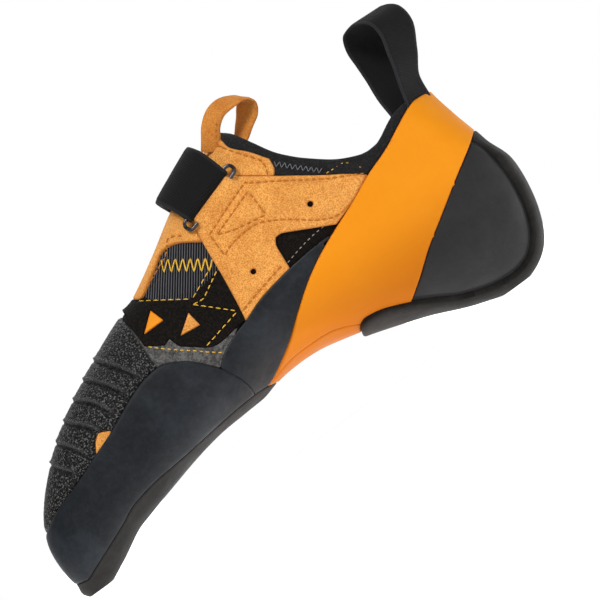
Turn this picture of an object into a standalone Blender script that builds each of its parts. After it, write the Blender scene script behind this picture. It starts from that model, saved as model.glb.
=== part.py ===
"""Climbing shoe, a right shoe: a hollow sock-lasted upper with rubber, suede and webbing laid over it.

Toe at -X, heel at +X, inner side of the foot at -Y, up is +Z, and the floor is z = 0.
Every layer is cut from the last's own surface function, between two offsets from it.
"""

import math

import bmesh
import bpy
import numpy as np

# Driving sizes, in metres.
LENGTH = 0.260
BALL_WIDTH = 0.087
HEEL_WIDTH = 0.059
INSTEP_HEIGHT = 0.126
HEEL_HEIGHT = 0.087

WALL = 0.0018
GAP = 0.0003
INSOLE_THICKNESS = 0.0022
SOLE_THICKNESS = 0.0042
HEEL_SOLE_THICKNESS = 0.0042
FLAT_DEPTH = 0.0009

RAND_THICKNESS = 0.0018
PATCH_THICKNESS = 0.0020
RIB_HEIGHT = 0.0009
RIB_WIDTH = 0.0022
SIDE_RAND_THICKNESS = 0.0015
BAND_THICKNESS = 0.0018
HEEL_SIDE_THICKNESS = 0.0014
PANEL_THICKNESS = 0.0009
INLAY_THICKNESS = 0.0006
SUEDE_THICKNESS = 0.0013
CUFF_THICKNESS = 0.0012
GORE_THICKNESS = 0.0010

STRAP_THICKNESS = 0.0038
STRAP_RISE = 0.0040
RING_WIRE = 0.0022
RING_WIDTH = 0.0315
RING_HEIGHT = 0.0085
TAB_DEPTH = 0.0065
TAB_THICKNESS = 0.0036

HEEL_LOOP_WIDTH = 0.019
HEEL_LOOP_RISE = 0.040
THROAT_LOOP_WIDTH = 0.0095
THROAT_LOOP_RISE = 0.0110
WEBBING = 0.0016

# How far cutters reach to each side, and how far from the middle one-sided pieces stop.
CUT_REACH = 0.12
WINDOW_STOP = 0.0052
RUBBER_STOP = 0.0059
INLAY_STOP = 0.0087
QUARTER_STOP = 0.00295
INSOLE_DEPTH = 0.026
RING_CORNER = 0.00255
# Shortest mitre of an inset corner; and the strap's arch over the instep: its half width in
# degrees and how far it stays at its full rise, as a share of that.
MITRE = 0.35
ARCH_DEGREES = 40.0
ARCH_REACH = 1.25

# Rings along the last for each row of the table, and points round each ring.
RINGS_PER_ROW = 1.0
SIDES = 24

SECTION_COLUMNS = (
    "bottom_x", "bottom_z", "top_x", "top_z", "heel", "inner", "outer",
    "bottom_y", "top_y", "widest", "low_inner", "low_outer", "high",
)
# x is a percentage of LENGTH and z of the local height; inner, outer, bottom_y and top_y are
# percentages of the local width; widest is the share of the section's height at its widest point;
# low_inner, low_outer and high are the roundness exponents of its quarters.
SECTIONS = (
    (1.0, 9.0, 1.0, 10.6, 0.00, 21.3, -17.8, -19.5, -19.5, 0.50, 2.0, 2.0, 2.00),
    (1.2, 4.5, 1.0, 15.8, 0.00, 28.7, -9.2, -19.0, -19.5, 0.45, 2.2, 2.2, 2.20),
    (2.0, 0.3, 1.7, 21.3, 0.00, 34.5, -1.1, -17.8, -19.5, 0.42, 2.4, 2.4, 2.20),
    (4.2, 0.0, 3.8, 28.5, 0.00, 39.7, 8.6, -15.5, -20.1, 0.38, 2.7, 2.6, 2.20),
    (7.7, 3.3, 7.5, 36.7, 0.00, 43.7, 19.5, -11.5, -20.7, 0.36, 3.0, 2.8, 2.20),
    (13.6, 9.3, 13.1, 46.3, 0.00, 47.1, 31.6, -6.9, -20.7, 0.33, 3.0, 2.9, 2.15),
    (20.4, 13.3, 20.4, 55.2, 0.00, 49.4, 41.4, -3.4, -19.5, 0.30, 3.0, 3.0, 2.10),
    (27.3, 16.0, 28.1, 62.9, 0.00, 50.0, 47.7, 0.0, -16.1, 0.28, 3.0, 3.0, 2.10),
    (33.5, 17.9, 35.4, 69.2, 0.00, 48.9, 50.0, 2.3, -12.6, 0.26, 3.0, 3.0, 2.05),
    (38.8, 18.8, 42.3, 77.3, 0.10, 45.7, 50.5, 4.8, -9.5, 0.26, 2.8, 3.0, 2.00),
    (43.8, 19.4, 48.5, 85.4, 0.30, 43.9, 50.3, 7.6, -6.4, 0.27, 2.5, 3.0, 2.00),
    (49.2, 20.8, 53.7, 90.6, 0.50, 43.2, 50.0, 11.0, -4.1, 0.28, 2.3, 2.8, 2.05),
    (55.0, 20.6, 58.5, 95.0, 0.70, 44.5, 50.4, 10.4, -3.0, 0.29, 2.2, 2.7, 2.15),
    (61.2, 17.9, 61.5, 98.1, 0.85, 46.7, 50.6, 7.9, -1.6, 0.29, 2.3, 2.6, 2.30),
    (67.3, 14.7, 63.5, 100.8, 1.00, 50.0, 51.7, 5.1, 0.0, 0.28, 2.5, 2.6, 2.50),
    (74.2, 10.5, 64.8, 103.1, 1.00, 50.0, 50.8, 1.7, 0.0, 0.27, 2.6, 2.6, 2.70),
    (81.5, 3.9, 66.0, 105.2, 1.00, 50.0, 50.0, 0.0, 0.0, 0.26, 2.5, 2.5, 2.80),
    (88.1, 0.0, 66.9, 107.3, 1.00, 50.0, 50.0, 0.0, 0.0, 0.26, 2.4, 2.4, 2.80),
    (93.5, 6.2, 67.7, 108.8, 1.00, 49.2, 49.2, 0.0, 0.0, 0.27, 2.2, 2.2, 2.80),
    (96.5, 21.7, 68.5, 110.5, 1.00, 48.6, 48.6, 0.0, 0.0, 0.27, 2.1, 2.1, 2.80),
    (97.8, 43.6, 69.2, 112.2, 1.00, 48.3, 48.3, 0.0, 0.0, 0.28, 2.0, 2.0, 2.70),
    (96.9, 63.1, 70.0, 114.1, 1.00, 47.5, 47.5, 0.0, 0.0, 0.32, 2.0, 2.0, 2.50),
    (95.4, 81.5, 70.8, 116.0, 1.00, 46.6, 46.6, 0.0, 0.0, 0.38, 2.0, 2.0, 2.40),
    (94.3, 98.7, 71.5, 117.9, 1.00, 45.8, 45.8, 0.0, 0.0, 0.42, 2.0, 2.0, 2.30),
    (94.4, 114.8, 72.3, 120.0, 1.00, 45.8, 45.8, 0.0, 0.0, 0.45, 2.0, 2.0, 2.20),
)
# The rows whose bottoms carry the insole.
INSOLE_ROWS = (3, 18)
# Where the height changes from the instep's to the heel's, in percent of LENGTH.
HEEL_BLEND = (60.0, 95.0)

# Seams and edges seen from the inner side: (percent of LENGTH, percent of the local height).
SOLE_EDGE = (
    (-6.0, 4.4), (2.2, 3.5), (3.3, 3.2), (5.5, 5.1), (8.1, 7.4), (13.0, 11.7), (15.6, 14.1),
    (18.6, 15.7), (21.6, 16.8), (26.8, 17.8), (32.4, 19.1), (37.9, 20.3), (42.2, 20.8),
)
SOLE_TAIL = ((42.2, 20.8), (43.8, 20.7), (46.1, 19.9), (49.1, 18.3), (49.8, 10.0))
HEEL_RIM = (
    (62.6, 5.0), (62.6, 15.9), (63.0, 18.7), (63.9, 19.9), (65.2, 20.0), (67.8, 19.2), (72.0, 16.3),
    (75.4, 12.8), (79.1, 8.4), (82.9, 5.2), (85.9, 3.6), (88.9, 3.5), (91.6, 6.1), (93.8, 12.8),
    (95.5, 23.5), (96.4, 37.0), (96.4, 50.5), (95.7, 61.8), (94.6, 66.0),
)
BAND_REAR = (
    (72.0, 16.3), (75.4, 22.3), (79.1, 30.4), (82.9, 38.7), (86.7, 47.7), (90.4, 56.7), (94.6, 66.0),
    (97.2, 71.1), (106.0, 86.0),
)
BAND_FRONT = (
    (43.8, 20.7), (45.4, 20.9), (49.1, 24.8), (52.8, 29.6), (56.6, 35.0), (60.3, 40.0), (64.1, 44.9),
    (68.6, 50.8), (73.5, 58.4), (78.2, 67.9), (82.9, 77.6), (86.7, 87.2), (90.1, 95.2), (92.3, 97.7),
    (106.0, 99.0),
)
RAND_TOP = (
    (-6.0, 13.0), (-0.8, 19.5), (2.9, 23.4), (5.9, 26.6), (10.8, 29.9), (16.7, 34.5), (20.4, 37.3),
    (25.3, 41.8), (29.0, 44.9), (32.7, 46.1),
)
RAND_REAR = (
    (32.7, 46.1), (34.6, 45.3), (36.5, 43.0), (38.3, 39.9), (39.8, 36.4), (41.3, 31.8), (42.2, 27.2),
    (42.4, 23.3), (42.2, 20.8),
)
PATCH_REAR = ((32.7, 53.6), (32.7, 59.7), (33.3, 65.1), (32.5, 75.2), (32.5, 90.0))
PATCH_TAIL = ((32.7, 53.6), (35.7, 49.5), (37.9, 45.8), (40.5, 41.8), (42.6, 37.0), (41.0, 32.8))
PANEL_TOP = (
    (36.1, 90.0), (36.1, 69.4), (37.5, 66.0), (39.7, 62.2), (41.6, 59.6), (43.1, 57.9), (46.0, 59.1),
    (49.5, 60.3), (48.9, 49.6), (48.2, 41.2),
)
PANEL_FOOT = ((48.2, 41.2), (45.3, 39.5), (42.6, 37.0))
WINDOW = (
    (37.2, 68.3), (39.6, 71.4), (41.5, 73.9), (43.0, 76.0), (44.5, 76.8), (46.4, 76.0), (48.3, 73.7),
    (50.0, 71.2), (49.5, 60.3), (46.0, 59.1), (43.1, 57.9), (41.6, 59.6), (39.7, 62.2), (37.5, 66.0),
)
FRAME_FOOT = (
    (36.1, 90.0), (36.1, 69.4), (37.2, 68.3), (39.6, 71.4), (41.5, 73.9), (43.0, 76.0), (44.5, 76.8),
    (46.4, 76.0), (48.3, 73.7), (50.0, 71.2), (50.7, 76.7), (60.3, 83.3), (61.4, 81.8), (65.8, 76.7),
)
FRAME_REAR = (
    (65.8, 76.7), (66.6, 79.3), (66.8, 83.1), (64.9, 87.9), (62.8, 92.0), (62.4, 96.2), (61.5, 115.0),
)
ANCHOR_TOP = (
    (50.0, 71.2), (50.7, 76.7), (60.3, 83.3), (61.4, 81.8), (65.8, 76.7), (71.6, 72.2), (75.3, 70.3),
    (78.2, 67.9),
)
ANCHOR_FOOT = (
    (78.2, 67.9), (73.5, 58.4), (69.3, 52.4), (64.1, 55.7), (61.3, 58.0), (60.1, 58.0), (59.4, 55.8),
    (59.2, 51.9), (59.0, 46.8), (52.8, 44.5), (48.2, 41.2), (48.9, 49.6), (49.5, 60.3),
)
SIDE_TOP = (
    (41.0, 32.8), (42.6, 37.0), (45.3, 39.5), (48.2, 41.2), (52.8, 44.5), (59.0, 46.8), (64.1, 48.4),
    (67.8, 50.0),
)
CUFF_FOOT = (
    (65.8, 76.7), (71.6, 72.2), (75.3, 70.3), (78.2, 67.9), (82.9, 77.6), (86.7, 87.2), (90.1, 95.2),
    (92.3, 97.7), (106.0, 99.0),
)
COLLAR = (
    (57.0, 125.0), (61.0, 104.0), (63.0, 99.3), (64.3, 96.8), (66.0, 91.5), (67.9, 85.7), (69.7, 82.5),
    (71.6, 80.2), (75.4, 77.4), (79.2, 77.6), (81.1, 79.5), (82.9, 82.6), (86.7, 92.5), (90.4, 98.6),
    (93.5, 101.0), (106.0, 102.0),
)
ABOVE_COLLAR = ((106.0, 160.0), (57.0, 160.0))
INLAY_REAR = ((33.7, 57.1), (36.8, 62.5), (37.6, 57.2))
INLAY_FRONT = ((38.3, 49.7), (41.5, 54.5), (41.9, 48.9))
STRAP_FRONT = ((46.0, 107.0), (48.1, 92.1), (49.3, 85.3), (50.6, 77.4), (53.7, 59.3))
STRAP_BACK = ((63.4, 66.5), (60.1, 84.0), (59.2, 92.3), (56.9, 100.1), (54.4, 112.0))
# Each rib of the toe patch, from the crest down.
RIBS = (
    ((23.5, 63.0), (24.8, 59.6), (27.8, 51.9), (29.6, 45.0)),
    ((20.1, 60.0), (21.4, 56.5), (23.7, 51.9), (26.6, 43.4)),
    ((17.1, 56.5), (18.4, 52.6), (21.0, 48.0), (23.0, 40.3)),
    ((13.7, 52.5), (15.1, 48.8), (18.0, 43.0), (19.5, 38.0)),
    ((10.7, 49.0), (12.1, 44.9), (13.9, 40.6), (15.5, 35.0)),
    ((7.4, 45.5), (9.3, 40.7), (10.9, 36.0), (12.6, 32.5)),
)

# Pull loops, down the middle of the webbing: percent of LENGTH, percent of HEEL_WIDTH, share of
# the loop's rise, then the direction of the webbing's width as (x, y, z).
HEEL_LOOP = (
    (92.1, -32.5, -0.09, 0.61, 0.79, 0.00),
    (92.9, -34.0, 0.17, 0.55, 0.83, 0.05),
    (94.6, -34.5, 0.43, 0.70, 0.70, 0.05),
    (96.0, -34.0, 0.69, 0.80, 0.60, 0.00),
    (95.8, -29.0, 0.90, 0.80, 0.60, 0.00),
    (93.5, -17.0, 1.00, 0.80, 0.60, 0.00),
    (91.0, -5.0, 0.97, 0.80, 0.60, 0.00),
    (89.9, 0.0, 0.80, 0.80, 0.60, 0.00),
    (89.7, -1.0, 0.60, 0.80, 0.60, 0.00),
    (89.4, -7.0, 0.37, 0.80, 0.60, 0.00),
    (88.9, -18.0, 0.13, 0.80, 0.60, 0.00),
    (88.5, -29.0, -0.06, 0.80, 0.45, 0.00),
    (88.2, -39.5, -0.18, 0.80, 0.45, 0.00),
)
THROAT_LOOP = (
    (60.0, -23.7, -0.47, -0.40, 0.40, 0.60),
    (61.2, -22.0, 0.16, -0.60, 0.10, 0.75),
    (62.7, -18.6, 0.71, -0.50, 0.20, 0.80),
    (65.4, -10.0, 1.03, -0.05, 0.60, 0.75),
    (68.1, 0.0, 0.80, 0.30, 0.80, 0.35),
    (69.4, 8.5, 0.39, 0.30, 0.90, 0.10),
    (68.8, 13.5, -0.02, 0.20, 0.95, 0.00),
    (66.7, 13.5, -0.38, 0.10, 1.00, 0.00),
    (64.2, 10.0, -0.38, 0.00, 1.00, 0.00),
    (62.5, 7.0, -0.06, 0.00, 1.00, 0.00),
)

COLOURS = {
    "lining_black": ((0.022, 0.022, 0.024), 0.85),
    "microfibre_black": ((0.018, 0.015, 0.012), 0.80),
    "suede_orange": ((0.80, 0.34, 0.075), 0.90),
    "rubber_orange": ((0.88, 0.31, 0.020), 0.45),
    "rubber_rand": ((0.020, 0.023, 0.028), 0.42),
    "rubber_patch": ((0.016, 0.016, 0.017), 0.35),
    "rubber_sole": ((0.026, 0.024, 0.022), 0.50),
    "rubber_heel": ((0.040, 0.040, 0.042), 0.48),
    "elastic_black": ((0.020, 0.020, 0.022), 0.70),
    "webbing_black": ((0.014, 0.014, 0.015), 0.75),
    "insole_grey": ((0.10, 0.10, 0.10), 0.90),
    "metal_dark": ((0.55, 0.55, 0.56), 0.25),
}


def smoothstep(value):
    value = np.clip(value, 0.0, 1.0)
    return value * value * (3.0 - 2.0 * value)


def side(x_percent, z_percent):
    """A point of the side view in metres, from percentages of the length and of the local height."""
    start, end = HEEL_BLEND
    heel = smoothstep((np.asarray(x_percent, dtype=float) - start) / (end - start))
    height = INSTEP_HEIGHT + (HEEL_HEIGHT - INSTEP_HEIGHT) * heel
    sole = SOLE_THICKNESS + (HEEL_SOLE_THICKNESS - SOLE_THICKNESS) * heel
    ground = GAP + sole - FLAT_DEPTH
    return LENGTH * np.asarray(x_percent) / 100.0, ground + height * np.asarray(z_percent) / 100.0


def outline(*rows):
    """Seams joined into one outline in metres, with repeated corners left out."""
    points = []
    for row in rows:
        for x, z in row:
            point = tuple(float(value) for value in side(x, z))
            if not points or math.dist(points[-1], point) > GAP:
                points.append(point)
    if math.dist(points[0], points[-1]) < GAP:
        points.pop()
    return points


def inset(points, distance):
    """The outline moved inward by distance, mitred at its corners."""
    count = len(points)
    area = sum(
        points[i][0] * points[(i + 1) % count][1] - points[(i + 1) % count][0] * points[i][1]
        for i in range(count)
    )
    sign = 1.0 if area > 0 else -1.0
    moved = []
    for i in range(count):
        before = np.array(points[i - 1])
        here = np.array(points[i])
        after = np.array(points[(i + 1) % count])
        first = (here - before) / np.linalg.norm(here - before)
        second = (after - here) / np.linalg.norm(after - here)
        first_normal = sign * np.array((-first[1], first[0]))
        second_normal = sign * np.array((-second[1], second[0]))
        middle = first_normal + second_normal
        reach = max(MITRE, float(middle @ middle) / 2.0)
        moved.append(tuple(here + distance * middle / reach))
    return moved


def section_values(position):
    """The table's columns at a position counted in rows, on a smooth curve through the rows."""
    rows = np.array(SECTIONS)
    last = len(rows) - 1
    index = min(int(position), last - 1)
    share = position - index
    before, here = rows[max(index - 1, 0)], rows[index]
    after, beyond = rows[index + 1], rows[min(index + 2, last)]
    values = 0.5 * (
        2.0 * here
        + (after - before) * share
        + (2.0 * before - 5.0 * here + 4.0 * after - beyond) * share ** 2
        + (3.0 * here - before - 3.0 * after + beyond) * share ** 3
    )
    return dict(zip(SECTION_COLUMNS, values))


def last_point(position, angle):
    """A point on the last: angle runs from the bottom up the inner side and down the outer side."""
    row = section_values(position)
    width = BALL_WIDTH + (HEEL_WIDTH - BALL_WIDTH) * row["heel"]
    sideways, rise = math.sin(angle), -math.cos(angle)
    inner_side = sideways >= 0.0
    extreme = -row["inner"] if inner_side else row["outer"]
    if rise < 0.0:
        power = 2.0 / (row["low_inner"] if inner_side else row["low_outer"])
        share = row["widest"] * (1.0 - abs(rise) ** power)
        middle = row["bottom_y"]
    else:
        power = 2.0 / row["high"]
        share = row["widest"] + (1.0 - row["widest"]) * abs(rise) ** power
        middle = row["top_y"]
    across = (middle + (extreme - middle) * abs(sideways) ** power) * width / 100.0
    bottom_x, bottom_z = side(row["bottom_x"], row["bottom_z"])
    top_x, top_z = side(row["top_x"], row["top_z"])
    return np.array((
        bottom_x + (top_x - bottom_x) * share, across, bottom_z + (top_z - bottom_z) * share,
    ))


def last_grid():
    """Points and outward normals of the last, ring by ring from the toe to above the collar."""
    rings = int(RINGS_PER_ROW * (len(SECTIONS) - 1)) + 1
    positions = np.linspace(0.0, len(SECTIONS) - 1.0, rings)
    angles = np.linspace(0.0, 2.0 * math.pi, SIDES, endpoint=False)
    points = np.array([[last_point(p, a) for a in angles] for p in positions])
    along = np.gradient(points, axis=0)
    around = np.roll(points, -1, axis=1) - np.roll(points, 1, axis=1)
    normals = np.cross(along, around)
    normals /= np.linalg.norm(normals, axis=2, keepdims=True)
    outward = points - points.mean(axis=1, keepdims=True)
    normals *= np.sign((normals * outward).sum(axis=2).mean())
    normals[0] = normals[0] * 0.5 + np.array((-1.0, 0.0, 0.0))
    normals[0] /= np.linalg.norm(normals[0], axis=1, keepdims=True)
    return points, normals, angles


GRID, NORMALS, ANGLES = last_grid()


def material(name):
    colour, roughness = COLOURS[name]
    made = bpy.data.materials.get(name) or bpy.data.materials.new(name)
    made.use_nodes = True
    shader = made.node_tree.nodes["Principled BSDF"]
    shader.inputs["Base Color"].default_value = (*colour, 1.0)
    shader.inputs["Roughness"].default_value = roughness
    shader.inputs["Metallic"].default_value = 1.0 if name == "metal_dark" else 0.0
    made.diffuse_color = (*colour, 1.0)
    return made


def add_object(name, builder, parts, finish=None):
    """One object from a bmesh; without a finish it is a hidden cutter."""
    mesh = bpy.data.meshes.new(name)
    bmesh.ops.recalc_face_normals(builder, faces=builder.faces)
    builder.to_mesh(mesh)
    builder.free()
    made = bpy.data.objects.new(name, mesh)
    parts.objects.link(made)
    if finish:
        mesh.materials.append(material(finish))
        mesh.shade_smooth()
        mesh.set_sharp_from_angle(angle=math.radians(35))
    else:
        made.hide_render = True
        made.display_type = "WIRE"
    return made


def skin(builder, offset):
    """Rings of vertices at an offset from the last, joined by faces and closed at the toe."""
    surface = GRID + NORMALS * np.asarray(offset)[..., None]
    rings = [[builder.verts.new(point) for point in ring] for ring in surface]
    for lower, upper in zip(rings, rings[1:]):
        for i in range(SIDES):
            following = (i + 1) % SIDES
            builder.faces.new((lower[i], lower[following], upper[following], upper[i]))
    pole = builder.verts.new(surface[0].mean(axis=0))
    for i in range(SIDES):
        builder.faces.new((pole, rings[0][i], rings[0][(i + 1) % SIDES]))
    return rings[-1]


def shell(name, inner, outer, finish=None):
    """A closed wall between two offsets from the last, open above the collar."""
    builder = bmesh.new()
    inside = skin(builder, inner)
    outside = skin(builder, outer)
    for i in range(SIDES):
        following = (i + 1) % SIDES
        builder.faces.new((inside[i], inside[following], outside[following], outside[i]))
    return add_object(name, builder, PARTS if finish else CUTTERS, finish)


def prism(name, points, near=-CUT_REACH, far=CUT_REACH):
    """An outline of the side view carried across the shoe from near to far."""
    builder = bmesh.new()
    face = builder.faces.new([builder.verts.new((x, near, z)) for x, z in points])
    swept = bmesh.ops.extrude_face_region(builder, geom=[face])
    moved = [item for item in swept["geom"] if isinstance(item, bmesh.types.BMVert)]
    bmesh.ops.translate(builder, vec=(0.0, far - near, 0.0), verts=moved)
    return add_object(name, builder, CUTTERS)


def boolean(target, operation, cutter):
    change = target.modifiers.new(cutter.name, "BOOLEAN")
    change.operation = operation
    change.solver = "EXACT"
    change.object = cutter


def overlay(name, finish, thickness, edges, inner=GAP, near=-CUT_REACH, far=CUT_REACH, cuts=()):
    """A layer of a given thickness over the last, inside an outline of the side view."""
    layer = shell(name, inner, inner + thickness, finish)
    boolean(layer, "INTERSECT", prism(f"{name}_outline", inset(edges, GAP / 2.0), near, far))
    for cutter in cuts:
        boolean(layer, "DIFFERENCE", cutter)
    return layer


def make_upper():
    upper = shell("upper", -WALL, 0.0, "lining_black")
    boolean(upper, "DIFFERENCE", COLLAR_CUT)
    boolean(upper, "DIFFERENCE", prism("window_cut", outline(WINDOW), far=-WINDOW_STOP))


def make_insole():
    """A footbed lying on the inside of the upper, clear of its wall."""
    builder = bmesh.new()
    end = skin(builder, -(WALL + GAP))
    builder.faces.new(end)
    insole = add_object("insole", builder, PARTS, "insole_grey")
    lift = WALL + GAP + INSOLE_THICKNESS
    first, last = INSOLE_ROWS
    surface = [side(row[0], row[1]) for row in SECTIONS[first:last + 1]]
    line = [(float(x), float(z) + lift) for x, z in surface]
    below = [(line[-1][0], -INSOLE_DEPTH), (line[0][0], -INSOLE_DEPTH)]
    boolean(insole, "INTERSECT", prism("insole_outline", line + below))


def make_soles():
    """Forefoot outsole and heel sole, each with a flat spot on the floor."""
    drop = ((49.8, -20.0), (-6.0, -20.0))
    front = overlay("front_outsole", "rubber_sole", SOLE_THICKNESS, outline(SOLE_EDGE, SOLE_TAIL, drop))
    rim_end = ((106.0, 86.0), (106.0, -20.0), (62.6, -20.0))
    rim = outline(HEEL_RIM, BAND_REAR[7:], rim_end)
    heel = overlay("heel_sole", "rubber_sole", HEEL_SOLE_THICKNESS, rim)
    floor = [(-LENGTH, -LENGTH), (2.0 * LENGTH, -LENGTH), (2.0 * LENGTH, 0.0), (-LENGTH, 0.0)]
    floor_cut = prism("floor_cut", floor)
    boolean(front, "DIFFERENCE", floor_cut)
    boolean(heel, "DIFFERENCE", floor_cut)


def make_rands():
    rand = outline(SOLE_EDGE, RAND_REAR[::-1], RAND_TOP[::-1])
    overlay("toe_rand", "rubber_rand", RAND_THICKNESS, rand)
    side_rand = outline(RAND_REAR[5:], ((43.8, 20.7),), BAND_FRONT[1:8], SIDE_TOP[::-1])
    overlay("side_rand_inner", "rubber_rand", SIDE_RAND_THICKNESS, side_rand, far=-RUBBER_STOP)
    overlay("side_rand_outer", "rubber_rand", SIDE_RAND_THICKNESS, side_rand, near=RUBBER_STOP)
    band = outline(BAND_FRONT, BAND_REAR[::-1], HEEL_RIM[6::-1], ((62.6, -20.0), (49.8, -20.0)),
                   SOLE_TAIL[:0:-1])
    overlay("heel_band", "rubber_orange", BAND_THICKNESS, band)
    lens = outline(BAND_REAR[:7], HEEL_RIM[:5:-1])
    overlay("heel_side_inner", "rubber_heel", HEEL_SIDE_THICKNESS, lens, far=-RUBBER_STOP)
    overlay("heel_side_outer", "rubber_heel", HEEL_SIDE_THICKNESS, lens, near=RUBBER_STOP)


def rib_outline(row):
    """A narrow strip along one rib's line."""
    line = [np.array(side(x, z), dtype=float) for x, z in row]
    forward = []
    back = []
    for i, point in enumerate(line):
        run = line[min(i + 1, len(line) - 1)] - line[max(i - 1, 0)]
        across = np.array((-run[1], run[0])) / np.linalg.norm(run) * RIB_WIDTH / 2.0
        forward.append(tuple(point + across))
        back.append(tuple(point - across))
    return forward + back[::-1]


def make_toe_patch():
    """The textured patch over the toes, with raised ribs across it."""
    edges = outline(RAND_TOP, RAND_REAR[1:5], PATCH_TAIL[::-1], PATCH_REAR, ((-6.0, 90.0),))
    patch = overlay("toe_patch", "rubber_patch", PATCH_THICKNESS, edges)
    ribs = shell("toe_ribs", GAP + PATCH_THICKNESS / 2.0, GAP + PATCH_THICKNESS + RIB_HEIGHT)
    strips = prism("rib_strips", rib_outline(RIBS[0]))
    for number, row in enumerate(RIBS[1:], start=2):
        boolean(strips, "UNION", prism(f"rib_strip_{number}", rib_outline(row)))
    boolean(ribs, "INTERSECT", strips)
    boolean(ribs, "INTERSECT", prism("rib_limit", inset(edges, GAP)))
    boolean(patch, "UNION", ribs)


def make_side_panel():
    """Microfibre panel behind the toe patch, with two triangular inlays."""
    edges = outline(PATCH_REAR[::-1], PATCH_TAIL[1:5], PANEL_FOOT[::-1], PANEL_TOP[::-1])
    panel = overlay("side_panel", "microfibre_black", PANEL_THICKNESS, edges)
    rear = outline(INLAY_REAR)
    front = outline(INLAY_FRONT)
    limit = -INLAY_STOP
    for name, corners in (("inlay_rear", rear), ("inlay_front", front)):
        boolean(panel, "DIFFERENCE", prism(f"{name}_cut", corners, far=limit))
        overlay(name, "suede_orange", INLAY_THICKNESS, inset(corners, GAP), far=limit)


def make_suede():
    """Throat frame over the instep, and the anchor that carries the strap's ring."""
    frame = outline(FRAME_FOOT, FRAME_REAR)
    overlay("throat_frame", "suede_orange", SUEDE_THICKNESS, frame, cuts=(COLLAR_CUT,))
    anchor = outline(ANCHOR_TOP, ANCHOR_FOOT)
    overlay("strap_anchor", "suede_orange", SUEDE_THICKNESS, anchor, far=-QUARTER_STOP)
    overlay("outer_quarter", "suede_orange", SUEDE_THICKNESS, anchor, near=QUARTER_STOP)


def make_gore():
    """Elastic set into the window of the upper, just under its face."""
    overlay("elastic_gore", "elastic_black", GORE_THICKNESS, inset(outline(WINDOW), GAP / 2.0),
            inner=-GORE_THICKNESS, far=-WINDOW_STOP)


def make_cuff():
    """Soft cuff between the suede, the heel band and the collar's edge."""
    edges = outline(CUFF_FOOT, ((106.0, 125.0), (61.5, 125.0)), FRAME_REAR[::-1])
    overlay("collar_cuff", "lining_black", CUFF_THICKNESS, edges, cuts=(COLLAR_CUT,))


def ring_frame():
    """The ring's middle and its directions: along its long side, across it and outward."""
    front = np.array(side(*STRAP_FRONT[3]), dtype=float)
    back = np.array(side(*STRAP_BACK[1]), dtype=float)
    centre = (front + back) / 2.0
    flat = GRID[..., [0, 2]] - centre
    distance = np.hypot(flat[..., 0], flat[..., 1]) + (GRID[..., 1] > 0.0) * LENGTH
    ring, point = np.unravel_index(distance.argmin(), distance.shape)
    nearest, normal = GRID[ring, point], NORMALS[ring, point]
    along = np.array((back[0] - front[0], 0.0, back[1] - front[1]))
    along /= np.linalg.norm(along)
    outward = normal - along * (normal @ along)
    outward /= np.linalg.norm(outward)
    across = np.cross(along, outward)
    across *= math.copysign(1.0, across[2])
    start = np.array((centre[0], nearest[1], centre[1]))
    slope = (start - nearest) @ outward
    return start - outward * slope, along, across, outward


def wire_loop(name, offset, width, height, radius, target, finish=None):
    """A rectangular loop of round wire as a mesh, its corners rounded by short cuts."""
    centre, along, across, outward = ring_frame()
    corner = RING_CORNER
    half_width, half_height = width / 2.0 - RING_WIRE / 2.0, height / 2.0 - RING_WIRE / 2.0
    corners = (
        (half_width - corner, half_height), (half_width, half_height - corner),
        (half_width, corner - half_height), (half_width - corner, -half_height),
        (corner - half_width, -half_height), (-half_width, corner - half_height),
        (-half_width, half_height - corner), (corner - half_width, half_height),
    )
    curve = bpy.data.curves.new(name, "CURVE")
    curve.dimensions = "3D"
    curve.bevel_depth = radius
    curve.bevel_resolution = 2
    spline = curve.splines.new("POLY")
    spline.points.add(len(corners) - 1)
    for point, (run, rise) in zip(spline.points, corners):
        point.co = (*(centre + along * run + across * rise + outward * offset), 1.0)
    spline.use_cyclic_u = True
    wire = bpy.data.objects.new(f"{name}_curve", curve)
    target.objects.link(wire)
    bpy.context.view_layer.update()
    evaluated = wire.evaluated_get(bpy.context.evaluated_depsgraph_get())
    mesh = bpy.data.meshes.new_from_object(evaluated)
    builder = bmesh.new()
    builder.from_mesh(mesh)
    bmesh.ops.remove_doubles(builder, verts=builder.verts, dist=1e-6)
    bpy.data.objects.remove(wire)
    bpy.data.meshes.remove(mesh)
    return add_object(name, builder, target, finish)


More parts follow.
